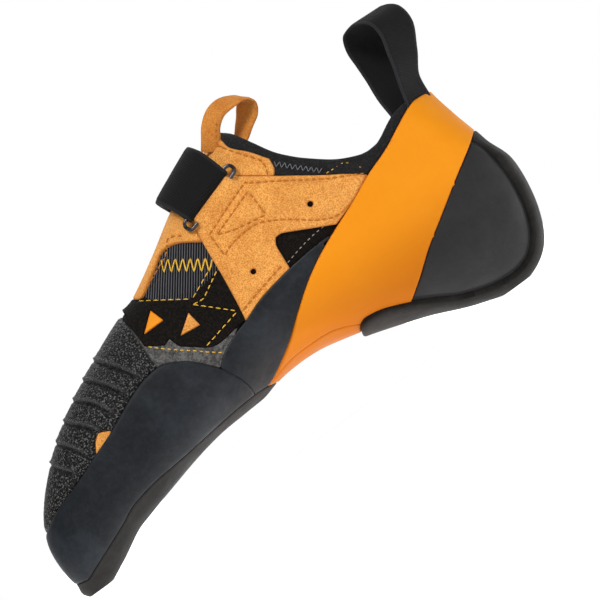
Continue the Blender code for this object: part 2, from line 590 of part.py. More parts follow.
def make_strap():
    """Webbing strap over the instep, doubled back through its ring and closed on the outer side."""
    rest = GAP + SUEDE_THICKNESS + GAP
    wire_offset = rest + TAB_THICKNESS / 2.0
    wire_loop("strap_ring", wire_offset, RING_WIDTH, RING_HEIGHT, RING_WIRE / 2.0, PARTS, "metal_dark")
    room = wire_loop(
        "ring_room", wire_offset, RING_WIDTH, RING_HEIGHT, RING_WIRE / 2.0 + GAP, CUTTERS,
    )
    bulge = smoothstep(ARCH_REACH - np.abs(ANGLES - math.pi) / math.radians(ARCH_DEGREES))
    lift = np.broadcast_to(rest + STRAP_RISE * bulge, GRID.shape[:2])
    strap = shell("strap", lift, lift + STRAP_THICKNESS, "webbing_black")
    edges = outline(STRAP_FRONT, STRAP_BACK)
    boolean(strap, "INTERSECT", prism("strap_outline", edges))
    centre, along, across, outward = ring_frame()
    seam = np.array((centre[0], centre[2]))
    run, drop = np.array((along[0], along[2])), -np.array((across[0], across[2]))
    drop /= np.linalg.norm(drop)
    below = [
        tuple(seam - run * LENGTH / 4.0), tuple(seam + run * LENGTH / 4.0),
        tuple(seam + run * LENGTH / 4.0 + drop * LENGTH / 4.0),
        tuple(seam - run * LENGTH / 4.0 + drop * LENGTH / 4.0),
    ]
    boolean(strap, "DIFFERENCE", prism("strap_end", inset(below, -GAP / 2.0), far=-WINDOW_STOP))
    boolean(strap, "DIFFERENCE", room)
    half = RING_WIDTH / 2.0 - RING_WIRE - 2.0 * GAP
    tab_edges = [
        tuple(seam - run * half), tuple(seam + run * half),
        tuple(seam + run * half + drop * TAB_DEPTH), tuple(seam - run * half + drop * TAB_DEPTH),
    ]
    overlay("ring_tab", "suede_orange", TAB_THICKNESS, tab_edges, inner=rest,
            far=-WINDOW_STOP, cuts=(room,))


def strip(name, finish, rows, rise, foot, width, thickness):
    """A flat strip swept along a smooth path through the rows."""
    path = np.array([
        (LENGTH * row[0] / 100.0, HEEL_WIDTH * row[1] / 100.0, foot + rise * row[2]) for row in rows
    ])
    across = np.array([row[3:] for row in rows], dtype=float)
    steps = np.linspace(0.0, len(rows) - 1.0, 3 * (len(rows) - 1) + 1)
    whole = np.arange(len(rows))
    smooth = []
    for step in steps:
        index = min(int(step), len(rows) - 2)
        share = step - index
        before, here = path[max(index - 1, 0)], path[index]
        after, beyond = path[index + 1], path[min(index + 2, len(rows) - 1)]
        smooth.append(0.5 * (
            2.0 * here + (after - before) * share
            + (2.0 * before - 5.0 * here + 4.0 * after - beyond) * share ** 2
            + (3.0 * here - before - 3.0 * after + beyond) * share ** 3
        ))
    smooth = np.array(smooth)
    sides = np.column_stack([np.interp(steps, whole, across[:, axis]) for axis in range(3)])
    tangents = np.gradient(smooth, axis=0)
    tangents /= np.linalg.norm(tangents, axis=1, keepdims=True)
    sides -= tangents * (sides * tangents).sum(axis=1, keepdims=True)
    sides /= np.linalg.norm(sides, axis=1, keepdims=True)
    normals = np.cross(tangents, sides)
    builder = bmesh.new()
    corners = ((-1, -1), (1, -1), (1, 1), (-1, 1))
    rings = [
        [builder.verts.new(point + a * w * width / 2.0 + n * t * thickness / 2.0) for w, t in corners]
        for point, a, n in zip(smooth, sides, normals)
    ]
    for lower, upper in zip(rings, rings[1:]):
        for i in range(4):
            following = (i + 1) % 4
            builder.faces.new((lower[i], lower[following], upper[following], upper[i]))
    builder.faces.new(rings[0])
    builder.faces.new(rings[-1])
    return add_object(name, builder, PARTS, finish)


def make_loops():
    """Webbing pull loop at the heel and suede pull loop at the throat, trimmed where they are sewn."""
    heel_foot = float(side(*COLLAR[-2])[1])
    heel_loop = strip("heel_loop", "webbing_black", HEEL_LOOP, HEEL_LOOP_RISE, heel_foot,
                      HEEL_LOOP_WIDTH, WEBBING)
    throat_foot = float(side(*FRAME_REAR[5])[1])
    throat_loop = strip("throat_loop", "suede_orange", THROAT_LOOP, THROAT_LOOP_RISE, throat_foot,
                        THROAT_LOOP_WIDTH, WEBBING)
    body = shell("sewn_body", -WALL - GAP, GAP + BAND_THICKNESS + GAP)
    boolean(body, "DIFFERENCE", prism("sewn_edge", inset(outline(COLLAR, ABOVE_COLLAR), GAP)))
    boolean(heel_loop, "DIFFERENCE", body)
    boolean(throat_loop, "DIFFERENCE", body)


def centre_on_floor():
    """Hang the whole shoe from one empty, with its bounding box centred over the origin."""
    bpy.context.view_layer.update()
    graph = bpy.context.evaluated_depsgraph_get()
    corners = []
    for part in PARTS.objects:
        mesh = part.evaluated_get(graph).to_mesh()
        corners.extend(np.array([vertex.co[:] for vertex in mesh.vertices]))
        part.evaluated_get(graph).to_mesh_clear()
    low, high = np.min(corners, axis=0), np.max(corners, axis=0)
    origin = bpy.data.objects.new("shoe_origin", None)
    PARTS.objects.link(origin)
    for made in (*PARTS.objects, *CUTTERS.objects):
        if made is not origin:
            made.parent = origin
    origin.location = (-(low[0] + high[0]) / 2.0, -(low[1] + high[1]) / 2.0, 0.0)


for existing in list(bpy.data.objects):
    bpy.data.objects.remove(existing)
PARTS = bpy.data.collections.new("climbing_shoe")
CUTTERS = bpy.data.collections.new("cutters")
for collection in (PARTS, CUTTERS):
    bpy.context.scene.collection.children.link(collection)
COLLAR_CUT = prism("collar_cut", outline(COLLAR, ABOVE_COLLAR))

make_upper()
make_insole()
make_soles()
make_rands()
make_toe_patch()
make_side_panel()
make_suede()
make_gore()
make_cuff()
make_strap()
make_loops()
centre_on_floor()
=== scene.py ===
import math

import bpy
import numpy as np
from mathutils import Matrix, Vector
from mathutils.bvhtree import BVHTree


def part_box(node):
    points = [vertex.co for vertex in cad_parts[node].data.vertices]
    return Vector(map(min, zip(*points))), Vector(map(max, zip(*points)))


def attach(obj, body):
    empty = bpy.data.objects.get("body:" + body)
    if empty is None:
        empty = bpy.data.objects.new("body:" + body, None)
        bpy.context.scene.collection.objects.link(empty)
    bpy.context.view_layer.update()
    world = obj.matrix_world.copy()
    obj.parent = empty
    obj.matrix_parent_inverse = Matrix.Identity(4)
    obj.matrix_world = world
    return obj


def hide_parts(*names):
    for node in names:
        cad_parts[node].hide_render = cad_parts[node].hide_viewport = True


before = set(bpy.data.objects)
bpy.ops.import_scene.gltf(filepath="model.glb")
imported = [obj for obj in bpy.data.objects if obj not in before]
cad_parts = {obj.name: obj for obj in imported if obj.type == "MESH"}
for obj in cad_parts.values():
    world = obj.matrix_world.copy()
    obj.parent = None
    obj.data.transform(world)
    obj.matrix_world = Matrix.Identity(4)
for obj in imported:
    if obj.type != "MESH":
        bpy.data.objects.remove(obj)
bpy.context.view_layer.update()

# The shoe's own sizes, in metres, as its solids have them.
LENGTH, BALL_WIDTH, HEEL_WIDTH = 0.260, 0.087, 0.059
INSTEP_HEIGHT, HEEL_HEIGHT = 0.126, 0.087
WALL, GAP, SOLE, FLAT_DEPTH = 0.0018, 0.0003, 0.0042, 0.0009
MM = 0.001

# Thickness of each kind of layer, and the sizes of the strap, the ring and the loops.
RUBBER, SIDE_RUBBER, HEEL_RUBBER, PATCH = 0.0018, 0.0015, 0.0014, 0.0019
SUEDE, FOLDED_SUEDE, MICROFIBRE, INLAY, INSOLE, CUFF_RISE = 0.0013, 0.0014, 0.0009, 0.0008, 0.0022, 0.0016
STRAP_WIDTH, STRAP_PLY, STRAP_REST = 0.027, 0.0016, GAP + SUEDE + 0.0003
RING_HEIGHT, RING_WIDTH, RING_WIRE = 0.0063, 0.0340, 0.0008
HEEL_LOOP_WIDTH, HEEL_LOOP_RISE, HEEL_LOOP_PLY = 0.019, 0.040, 0.0016
THROAT_LOOP_WIDTH, THROAT_LOOP_RISE, THROAT_LOOP_PLY = 0.0074, 0.0110, 0.0020

# Where the toe patch's tail, painted a mottled grey as a painted reflection, and the side panel's front
# corner start, along the length.
TAIL_START, PANEL_FRONT = 0.0838, 0.0862

# How far the anchor swells over the ring, how far the strap stands off the instep, and the
# distance between two ribs of the elastic.
FOLD_HEIGHT, STRAP_ARCH, ELASTIC_PITCH = 0.0035, 0.0038, 0.0011

# Distances are measured this far round an outline; a layer on one side starts this far from the
# middle; and a mesh point this near to a cut counts as on it.
MARGIN, OFF_MIDDLE, SLIVER = 0.004, 0.003, 4e-5

CELL = 0.00125
FINE = 1.0
CELLS = {
    "heel_side": 0.0009, "heel_band": 0.00125, "toe_patch": 0.00067, "notch": 0.0004,
    "side_panel": 0.00055, "inlay_rear": 0.0004, "inlay_front": 0.0004, "frame": 0.0007,
    "anchor": 0.00055, "window": 0.00031, "cuff": 0.0010,
}
OUTER_QUARTER_CELL = 0.00075
ROUND_LEVELS = (0.00012, 0.0004, 0.0009, 0.0018)

# The camera looks at the inner side, a little from below, and is rolled as in the photograph.
CAMERA_AIM, CAMERA_DISTANCE, VIEW_WIDTH = (0.02037, 0.0, 0.04996), 1.3, 0.25845
CAMERA_LOW, CAMERA_ROLL = 1.2, -36.04
# Seams and stitches were read in a side view from here, whose zero lies at this place in mm.
EYE, SEEN_SHIFT = np.array((0.1494, -1.3, 0.0493)), (7.0, -0.5)
LIGHTS = (
    ("key", (-0.25, -1.0, 1.7), 0.7, 24.0),
    ("fill", (1.0, -1.6, 0.6), 1.2, 4.0),
    ("rim", (0.3, 1.4, 1.3), 0.9, 6.0),
)

# Sections of the last from the toe to the collar. The bottom and top points are shares of the
# length and the local height, the sides are shares of the local width, and heel tells how far the
# width has gone from the ball's to the heel's. The last four say how full each section is.

COLUMNS = (
    "bottom_x", "bottom_z", "top_x", "top_z", "heel", "inner", "outer",
    "bottom_y", "top_y", "widest", "low_inner", "low_outer", "high",
)
SECTIONS = (
    (1.0, 9.0, 1.0, 10.6, 0.00, 21.3, -17.8, -19.5, -19.5, 0.50, 2.0, 2.0, 2.00),
    (1.2, 4.5, 1.0, 15.8, 0.00, 28.7, -9.2, -19.0, -19.5, 0.45, 2.2, 2.2, 2.20),
    (2.0, 0.3, 1.7, 21.3, 0.00, 34.5, -1.1, -17.8, -19.5, 0.42, 2.4, 2.4, 2.20),
    (4.2, 0.0, 3.8, 28.5, 0.00, 39.7, 8.6, -15.5, -20.1, 0.38, 2.7, 2.6, 2.20),
    (7.7, 3.3, 7.5, 36.7, 0.00, 43.7, 19.5, -11.5, -20.7, 0.36, 3.0, 2.8, 2.20),
    (13.6, 9.3, 13.1, 46.3, 0.00, 47.1, 31.6, -6.9, -20.7, 0.33, 3.0, 2.9, 2.15),
    (20.4, 13.3, 20.4, 55.2, 0.00, 49.4, 41.4, -3.4, -19.5, 0.30, 3.0, 3.0, 2.10),
    (27.3, 16.0, 28.1, 62.9, 0.00, 50.0, 47.7, 0.0, -16.1, 0.28, 3.0, 3.0, 2.10),
    (33.5, 17.9, 35.4, 69.2, 0.00, 48.9, 50.0, 2.3, -12.6, 0.26, 3.0, 3.0, 2.05),
    (38.8, 18.8, 42.3, 77.3, 0.10, 45.7, 50.5, 4.8, -9.5, 0.26, 2.8, 3.0, 2.00),
    (43.8, 19.4, 48.5, 85.4, 0.30, 43.9, 50.3, 7.6, -6.4, 0.27, 2.5, 3.0, 2.00),
    (49.2, 20.8, 53.7, 90.6, 0.50, 43.2, 50.0, 11.0, -4.1, 0.28, 2.3, 2.8, 2.05),
    (55.0, 20.6, 58.5, 95.0, 0.70, 44.5, 50.4, 10.4, -3.0, 0.29, 2.2, 2.7, 2.15),
    (61.2, 17.9, 61.5, 98.1, 0.85, 46.7, 50.6, 7.9, -1.6, 0.29, 2.3, 2.6, 2.30),
    (67.3, 14.7, 63.5, 100.8, 1.00, 50.0, 51.7, 5.1, 0.0, 0.28, 2.5, 2.6, 2.50),
    (74.2, 10.5, 64.8, 103.1, 1.00, 50.0, 50.8, 1.7, 0.0, 0.27, 2.6, 2.6, 2.70),
    (81.5, 3.9, 66.0, 105.2, 1.00, 50.0, 50.0, 0.0, 0.0, 0.26, 2.5, 2.5, 2.80),
    (88.1, 0.0, 66.9, 107.3, 1.00, 50.0, 50.0, 0.0, 0.0, 0.26, 2.4, 2.4, 2.80),
    (93.5, 6.2, 67.7, 108.8, 1.00, 49.2, 49.2, 0.0, 0.0, 0.27, 2.2, 2.2, 2.80),
    (96.5, 21.7, 68.5, 110.5, 1.00, 48.6, 48.6, 0.0, 0.0, 0.27, 2.1, 2.1, 2.80),
    (97.8, 43.6, 69.2, 112.2, 1.00, 48.3, 48.3, 0.0, 0.0, 0.28, 2.0, 2.0, 2.70),
    (96.9, 63.1, 70.0, 114.1, 1.00, 47.5, 47.5, 0.0, 0.0, 0.32, 2.0, 2.0, 2.50),
    (95.4, 81.5, 70.8, 116.0, 1.00, 46.6, 46.6, 0.0, 0.0, 0.38, 2.0, 2.0, 2.40),
    (94.3, 98.7, 71.5, 117.9, 1.00, 45.8, 45.8, 0.0, 0.0, 0.42, 2.0, 2.0, 2.30),
    (94.4, 114.8, 72.3, 120.0, 1.00, 45.8, 45.8, 0.0, 0.0, 0.45, 2.0, 2.0, 2.20),
)
ROWS = np.array(SECTIONS)
INSOLE_ROWS = (3, 18)
BALL_ROW = 7.5
HEEL_BLEND = (60.0, 95.0)

# Borders of the layers in the side view, as shares of the length and of the local height.
SOLE_EDGE = (
    (-6.0, 4.4), (2.2, 3.5), (3.3, 3.2), (5.5, 5.1), (8.1, 7.4), (13.0, 11.7), (15.6, 14.1),
    (18.6, 15.7), (21.6, 16.8), (26.8, 17.8), (32.4, 19.1), (37.9, 20.3), (42.2, 20.8),
)
SOLE_TAIL = ((42.2, 20.8), (43.8, 20.7), (46.1, 19.9), (49.1, 18.3), (49.8, 10.0))
HEEL_RIM = (
    (62.6, 5.0), (62.6, 15.9), (63.0, 18.7), (63.9, 19.9), (65.2, 20.0), (67.8, 19.2), (72.0, 16.3),
    (75.4, 12.8), (79.1, 8.4), (82.9, 5.2), (85.9, 3.6), (88.9, 3.5), (91.6, 6.1), (93.8, 12.8),
    (95.5, 23.5), (96.4, 37.0), (96.4, 50.5), (95.7, 61.8), (94.6, 66.0),
)
BAND_REAR = (
    (72.0, 16.3), (75.4, 22.3), (79.1, 30.4), (82.9, 38.7), (86.7, 47.7), (90.4, 56.7), (94.6, 66.0),
    (97.2, 71.1), (106.0, 86.0),
)
BAND_FRONT = (
    (43.8, 20.7), (45.4, 20.9), (49.1, 24.8), (52.8, 29.6), (56.6, 35.0), (60.3, 40.0), (64.1, 44.9),
    (68.6, 50.8), (73.5, 58.4), (78.2, 67.9), (82.9, 77.6), (86.7, 87.2), (90.1, 95.2), (92.3, 97.7),
    (106.0, 99.0),
)
RAND_TOP = (
    (-6.0, 13.0), (-0.8, 19.5), (2.9, 23.4), (5.9, 26.6), (10.8, 29.9), (16.7, 34.5), (20.4, 37.3),
    (25.3, 41.8), (29.0, 44.6), (32.5, 45.5),
)
RAND_REAR = (
    (32.5, 45.5), (34.2, 44.6), (35.8, 42.9), (37.4, 40.4), (38.8, 37.4), (40.7, 32.2), (41.9, 27.2),
    (42.3, 23.3), (42.2, 20.8),
)
PATCH_REAR = ((32.7, 53.6), (32.6, 59.7), (32.2, 65.1), (31.8, 75.2), (31.8, 90.0))
PATCH_TAIL = (
    (32.7, 53.6), (35.4, 50.0), (36.6, 51.0), (37.1, 47.4), (37.9, 45.8), (40.3, 41.9), (41.8, 40.4),
    (44.0, 40.4), (47.0, 41.7), (45.3, 39.5), (42.6, 37.0), (40.4, 33.6),
)
PANEL_TOP = (
    (34.8, 90.0), (34.8, 70.2), (36.1, 68.0), (37.5, 66.0), (39.7, 62.2), (41.6, 59.6), (43.1, 57.9),
    (46.0, 59.1), (49.5, 60.3), (48.9, 49.6), (48.2, 41.2),
)
WINDOW = (
    (37.2, 68.3), (39.6, 71.4), (41.5, 73.9), (43.0, 76.0), (44.5, 76.8), (46.4, 76.0), (48.3, 73.7),
    (50.0, 71.2), (49.5, 60.3), (46.0, 59.1), (43.1, 57.9), (41.6, 59.6), (39.7, 62.2), (37.5, 66.0),
)
FOLD_SEAM = ((50.5, 77.85), (60.1, 84.5))
FRAME_FOOT = (
    (34.8, 90.0), (34.8, 70.2), (36.1, 68.0), (37.2, 68.3), (39.6, 71.4), (41.5, 73.9), (43.0, 76.0),
    (44.5, 76.8), (46.4, 76.0), (48.3, 73.7), (50.0, 71.2), *FOLD_SEAM, (61.4, 81.8), (65.8, 76.7),
)
FRAME_REAR = (
    (65.8, 76.7), (66.6, 79.3), (66.8, 83.1), (64.9, 87.9), (62.8, 92.0), (62.4, 96.2), (61.5, 115.0),
)
ANCHOR_TOP = (
    (50.0, 71.2), *FOLD_SEAM, (61.4, 81.8), (65.8, 76.7), (71.6, 72.2), (75.3, 70.3),
    (78.2, 67.9),
)
ANCHOR_FOOT = (
    (78.2, 67.9), (73.5, 58.4), (69.3, 52.4), (64.1, 55.7), (61.3, 58.0), (60.1, 58.0), (59.4, 55.8),
    (59.2, 51.9), (59.0, 46.8), (52.8, 44.5), (48.2, 41.2), (48.9, 49.6), (49.5, 60.3),
)
SIDE_TOP = (
    (40.4, 33.6), (42.6, 37.0), (45.3, 39.5), (48.2, 41.2), (52.8, 44.5), (59.0, 46.8), (64.1, 48.4),
    (67.8, 50.0),
)
CUFF_FOOT = (
    (65.8, 76.7), (71.6, 72.2), (75.3, 70.3), (78.2, 67.9), (82.9, 77.6), (86.7, 87.2), (90.1, 95.2),
    (92.3, 97.7), (106.0, 99.0),
)
COLLAR = (
    (57.0, 125.0), (61.0, 104.0), (63.0, 99.3), (64.3, 96.8), (66.0, 91.5), (67.9, 85.7), (69.7, 82.5),
    (71.6, 80.2), (75.4, 77.4), (79.2, 77.6), (81.1, 79.5), (82.9, 82.6), (86.7, 92.5), (90.4, 98.6),
    (93.5, 101.0), (106.0, 102.0),
)
ABOVE_COLLAR = ((106.0, 160.0), (57.0, 160.0))
DOWN = ((49.8, -20.0), (-6.0, -20.0))
INLAY_REAR = ((33.7, 57.1), (36.8, 62.5), (37.6, 57.2))
INLAY_FRONT = ((38.3, 49.7), (41.5, 54.5), (41.9, 48.9))
STRAP_FRONT = ((53.7, 59.3), (50.6, 77.4), (49.3, 85.3), (48.1, 92.1), (46.0, 107.0))
STRAP_BACK = ((63.4, 66.5), (60.1, 84.0), (59.2, 92.3), (56.9, 100.1), (54.4, 112.0))
RIBS = (
    ((23.5, 63.0), (24.8, 59.6), (27.8, 51.9), (29.6, 45.0)),
    ((20.1, 60.0), (21.4, 56.5), (23.7, 51.9), (26.6, 43.4)),
    ((17.1, 56.5), (18.4, 52.6), (21.0, 48.0), (23.0, 40.3)),
    ((13.7, 52.5), (15.1, 48.8), (18.0, 43.0), (19.5, 38.0)),
    ((10.7, 49.0), (12.1, 44.9), (13.9, 40.6), (15.5, 35.0)),
    ((7.4, 45.5), (9.3, 40.7), (10.9, 36.0), (12.6, 32.5)),
)
TOE_NOTCH = (
    (16.3, 34.2), (16.9, 36.4), (17.7, 38.5), (18.6, 39.6), (19.6, 38.9), (20.6, 37.8), (19.0, 34.4),
)
# Small holes: share of the length, share of the height, radius in mm.
PINHOLES = ((67.8, 62.7, 1.25), (53.9, 53.1, 1.2))
ACROSS_RIBS = np.array((0.81, -0.587))
# Stitches in suede: their length, gap, radius and depth in mm.
SUEDE_STITCH = (2.2, 0.7, 0.32, 0.18)

# Rows of the pull loops: the place as shares of the length, the heel's width and the loop's rise,
# then the direction across the webbing. The tapers are its width from end to end.
HEEL_LOOP = (
    (92.1, -32.5, -0.09, 0.61, 0.79, 0.00),
    (92.9, -34.0, 0.17, 0.55, 0.83, 0.05),
    (94.6, -34.5, 0.43, 0.70, 0.70, 0.05),
    (96.1, -34.0, 0.69, 0.80, 0.60, 0.00),
    (95.8, -29.0, 0.88, 0.80, 0.60, 0.00),
    (93.9, -17.0, 0.98, 0.85, 0.53, 0.00),
    (92.1, -5.0, 0.95, 0.92, 0.40, 0.00),
    (91.2, 0.0, 0.80, 0.95, 0.30, 0.00),
    (91.0, -1.0, 0.60, 0.95, 0.30, 0.00),
    (90.7, -7.0, 0.37, 0.95, 0.30, 0.00),
    (90.0, -18.0, 0.13, 0.90, 0.45, 0.00),
    (89.8, -28.0, -0.08, 0.80, 0.45, 0.00),
    (89.6, -37.5, -0.26, 0.80, 0.45, 0.00),
)
HEEL_LOOP_TAPER = (1.0, 1.0, 1.0, 1.0, 0.95, 0.88, 0.78)
THROAT_LOOP = (
    (59.8, -22.0, -0.12, -0.78, 0.00, 0.63),
    (61.0, -22.0, 0.29, -0.81, 0.00, 0.59),
    (62.1, -21.2, 0.67, -0.80, 0.00, 0.60),
    (63.6, -19.5, 0.97, -0.55, 0.10, 0.83),
    (65.2, -16.9, 1.11, -0.25, 0.30, 0.93),
    (67.1, -13.6, 1.10, 0.11, 0.70, 0.66),
    (68.9, -10.2, 0.97, -0.19, 0.90, 0.33),
    (69.3, -8.0, 0.68, -0.58, 0.70, 0.40),
    (68.4, -6.0, 0.37, -0.70, 0.60, 0.38),
    (66.9, -6.0, 0.05, -0.55, 0.68, 0.48),
    (65.2, -8.5, -0.30, -0.37, 0.75, 0.51),
    (63.4, -11.9, -0.51, -0.37, 0.75, 0.51),
)
THROAT_LOOP_TAPER = (1.05, 1.0, 0.95, 0.95, 0.95, 1.0, 1.15, 1.4, 1.45, 1.3, 1.1, 1.0)

# Soft troughs (negative) and ridges (positive) pressed into every layer: the line as shares of
# the side view, half width in mm, height in mm, and the side they lie on (-1 inner, 1 outer, 0 both).
CREASES = (
    (((47.0, 27.5), (53.0, 29.0), (60.0, 27.0)), 3.2, 0.4, 0),
    (((66.0, 40.0), (72.0, 50.0), (78.0, 62.0)), 7.0, -0.5, 0),
    (((80.0, 40.0), (84.0, 52.0), (89.0, 70.0)), 8.0, 0.5, 0),
    (((36.0, 40.5), (39.0, 43.0), (40.5, 45.0)), 2.5, 0.7, -1),
    (((46.0, 44.0), (52.0, 56.0), (57.0, 66.0)), 5.0, -0.5, 0),
    (((62.0, 62.0), (68.0, 66.0), (74.0, 66.0)), 4.0, -0.45, 0),
    (((12.0, 18.0), (20.0, 27.0), (30.0, 33.0)), 8.0, -0.6, 0),
    (((24.0, 24.0), (32.0, 28.0), (39.0, 27.0)), 6.0, 0.5, 0),
    (((71.0, 76.5), (76.0, 74.5), (80.5, 75.5)), 1.6, -0.4, 0),
    (((84.0, 22.0), (90.0, 30.0), (93.5, 45.0)), 7.0, -0.5, 0),
)


def smoothstep(value):
    value = np.clip(value, 0.0, 1.0)
    return value * value * (3.0 - 2.0 * value)


def dome(share):
    """A quarter round, from 0 at the edge to 1 where share reaches 1."""
    return np.sqrt(np.clip(1.0 - (1.0 - np.clip(share, 0.0, 1.0)) ** 2, 0.0, 1.0))


def bell(offset, width):
    return np.exp(-(offset / width) ** 2)


def ends(along, steepness):
    """1 along a line of length 1, fading to 0 at both ends."""
    return smoothstep(np.minimum(along, 1.0 - along) * steepness)


def unit(vectors):
    return vectors / np.linalg.norm(vectors, axis=-1, keepdims=True)


def travelled(path):
    """How far along a path each of its points lies."""
    return np.concatenate(([0.0], np.cumsum(np.linalg.norm(np.diff(path, axis=0), axis=1))))


def pick(at, marks, table):
    """Rows of a table at places between its marks."""
    return np.column_stack([np.interp(at, marks, column) for column in np.asarray(table).T])


def even_marks(lengths, marks, count, endpoint=True):
    """Marks at even lengths."""
    return np.interp(np.linspace(0.0, lengths[-1], count, endpoint=endpoint), lengths, marks)


def even_steps(curve, step):
    lengths = travelled(curve)
    return pick(np.linspace(0.0, lengths[-1], max(2, int(lengths[-1] / step) + 1)), lengths, curve)


def curve_through(table, index, share, closed=False):
    """A Catmull-Rom curve through the rows of a table, a share of the way on from row index."""
    count = len(table)
    before, here, after, beyond = (
        table[(index + k) % count if closed else np.clip(index + k, 0, count - 1)] for k in (-1, 0, 1, 2)
    )
    return 0.5 * (
        2.0 * here + (after - before) * share
        + (2.0 * before - 5.0 * here + 4.0 * after - beyond) * share ** 2
        + (3.0 * here - before - 3.0 * after + beyond) * share ** 3
    )


def side(x_percent, z_percent):
    """Metres in the side view, from shares of the length and of the local height."""
    start, end = HEEL_BLEND
    heel = smoothstep((np.asarray(x_percent, float) - start) / (end - start))
    height = INSTEP_HEIGHT + (HEEL_HEIGHT - INSTEP_HEIGHT) * heel
    floor = GAP + SOLE - FLAT_DEPTH
    return LENGTH * np.asarray(x_percent) / 100.0, floor + height * np.asarray(z_percent) / 100.0


def side_points(rows):
    return np.column_stack(side(*np.array(rows).T))


def outline(*rows):
    """Seams joined into one outline of the side view, with repeated corners left out."""
    points = []
    for point in side_points([place for row in rows for place in row]):
        if not points or math.dist(points[-1], point) > GAP:
            points.append(point)
    if math.dist(points[0], points[-1]) < GAP:
        points.pop()
    return smooth_corners(np.array(points))


def smooth_corners(points, sharp=33.0):
    """Smooth curves between the corners that turn by more than sharp degrees."""
    runs = points - np.roll(points, 1, axis=0)
    heading = np.arctan2(runs[:, 1], runs[:, 0])
    turn = (np.roll(heading, -1) - heading + math.pi) % (2.0 * math.pi) - math.pi
    corners = [i for i in range(len(points)) if abs(turn[i]) > math.radians(sharp)]
    if len(corners) < 2:
        return smooth_line(points, 0.0015, closed=True)[:-1]
    pieces = []
    for start, end in zip(corners, corners[1:] + [corners[0] + len(points)]):
        run = points[[k % len(points) for k in range(start, end + 1)]]
        pieces.append(smooth_line(run, 0.0015)[:-1] if len(run) > 2 else run[:-1])
    return np.vstack(pieces)


def smooth_line(points, step=0.001, closed=False):
    """A curve through points, cut at even steps."""
    points = np.asarray(points, float)
    share = np.linspace(0.0, 1.0, 12, endpoint=False)[:, None]
    spans = len(points) if closed else len(points) - 1
    curve = [curve_through(points, i, share, closed) for i in range(spans)]
    return even_steps(np.vstack(curve + [points[:1] if closed else points[-1:]]), step)


def row_values(position):
    position = np.clip(np.asarray(position, float), 0.0, len(ROWS) - 1.0)
    index = np.minimum(position.astype(int), len(ROWS) - 2)
    values = curve_through(ROWS, index, (position - index)[..., None])
    return {name: values[..., k] for k, name in enumerate(COLUMNS)}


def last(position, angle):
    """Points on the last. Before row 0 the first ring closes over the toe's tip."""
    position, angle = np.broadcast_arrays(np.asarray(position, float), np.asarray(angle, float))
    row = row_values(position)
    width = BALL_WIDTH + (HEEL_WIDTH - BALL_WIDTH) * row["heel"]
    sideways, rise = np.sin(angle), -np.cos(angle)
    inner_side = sideways >= 0.0
    extreme = np.where(inner_side, -row["inner"], row["outer"])
    low = np.where(inner_side, row["low_inner"], row["low_outer"])
    below = rise < 0.0
    power = np.where(below, 2.0 / low, 2.0 / row["high"])
    swell = np.abs(rise) ** power
    share = np.where(below, row["widest"] * (1.0 - swell), row["widest"] + (1.0 - row["widest"]) * swell)
    middle = np.where(below, row["bottom_y"], row["top_y"])
    across = (middle + (extreme - middle) * np.abs(sideways) ** power) * width / 100.0
    bottom_x, bottom_z = side(row["bottom_x"], row["bottom_z"])
    top_x, top_z = side(row["top_x"], row["top_z"])
    points = np.stack((
        bottom_x + (top_x - bottom_x) * share, across, bottom_z + (top_z - bottom_z) * share,
    ), axis=-1)
    cap = np.clip(-position, 0.0, 1.0)[..., None]
    return points + (TIP - points) * cap


TIP = np.zeros(3)
first_ring = last(np.zeros(64), np.linspace(0.0, 2.0 * math.pi, 64, endpoint=False))
TIP = first_ring.mean(axis=0) - (0.0001, 0.0, 0.0)


def last_normal(position, angle):
    position, angle = np.asarray(position, float), np.asarray(angle, float)
    end = len(ROWS) - 1.0
    along = last(np.minimum(position + 0.03, end), angle) - last(np.maximum(position - 0.03, -1.0), angle)
    around = last(position, angle + 0.02) - last(position, angle - 0.02)
    normal = np.cross(along, around)
    length = np.linalg.norm(normal, axis=-1, keepdims=True)
    forward = np.array((-1.0, 0.0, 0.0))
    normal = np.where(length > 1e-14, normal / np.maximum(length, 1e-14), forward)
    tip = smoothstep(1.0 - (position + 1.0) / 1.6)[..., None]
    return unit(normal * (1.0 - tip) + forward * tip)


def grid_triangles(rows, columns, closed=False):
    """Triangles between the points of a grid; closed joins the last column to the first."""
    i, j = np.meshgrid(np.arange(rows - 1), np.arange(columns if closed else columns - 1), indexing="ij")
    here, beside = (i * columns + j).ravel(), (i * columns + (j + 1) % columns).ravel()
    return np.vstack((
        np.column_stack((here, here + columns, beside + columns)),
        np.column_stack((here, beside + columns, beside)),
    ))


def mesh_of_last(params, triangles, probe):
    """Parameters, triangles that look outward by the probed one, and points."""
    points = last(*params.T)
    a, b, c = points[triangles[probe]]
    if np.cross(b - a, c - a) @ last_normal(*params[triangles[probe][0]]) < 0.0:
        triangles = triangles[:, ::-1].copy()
    return params, triangles, points


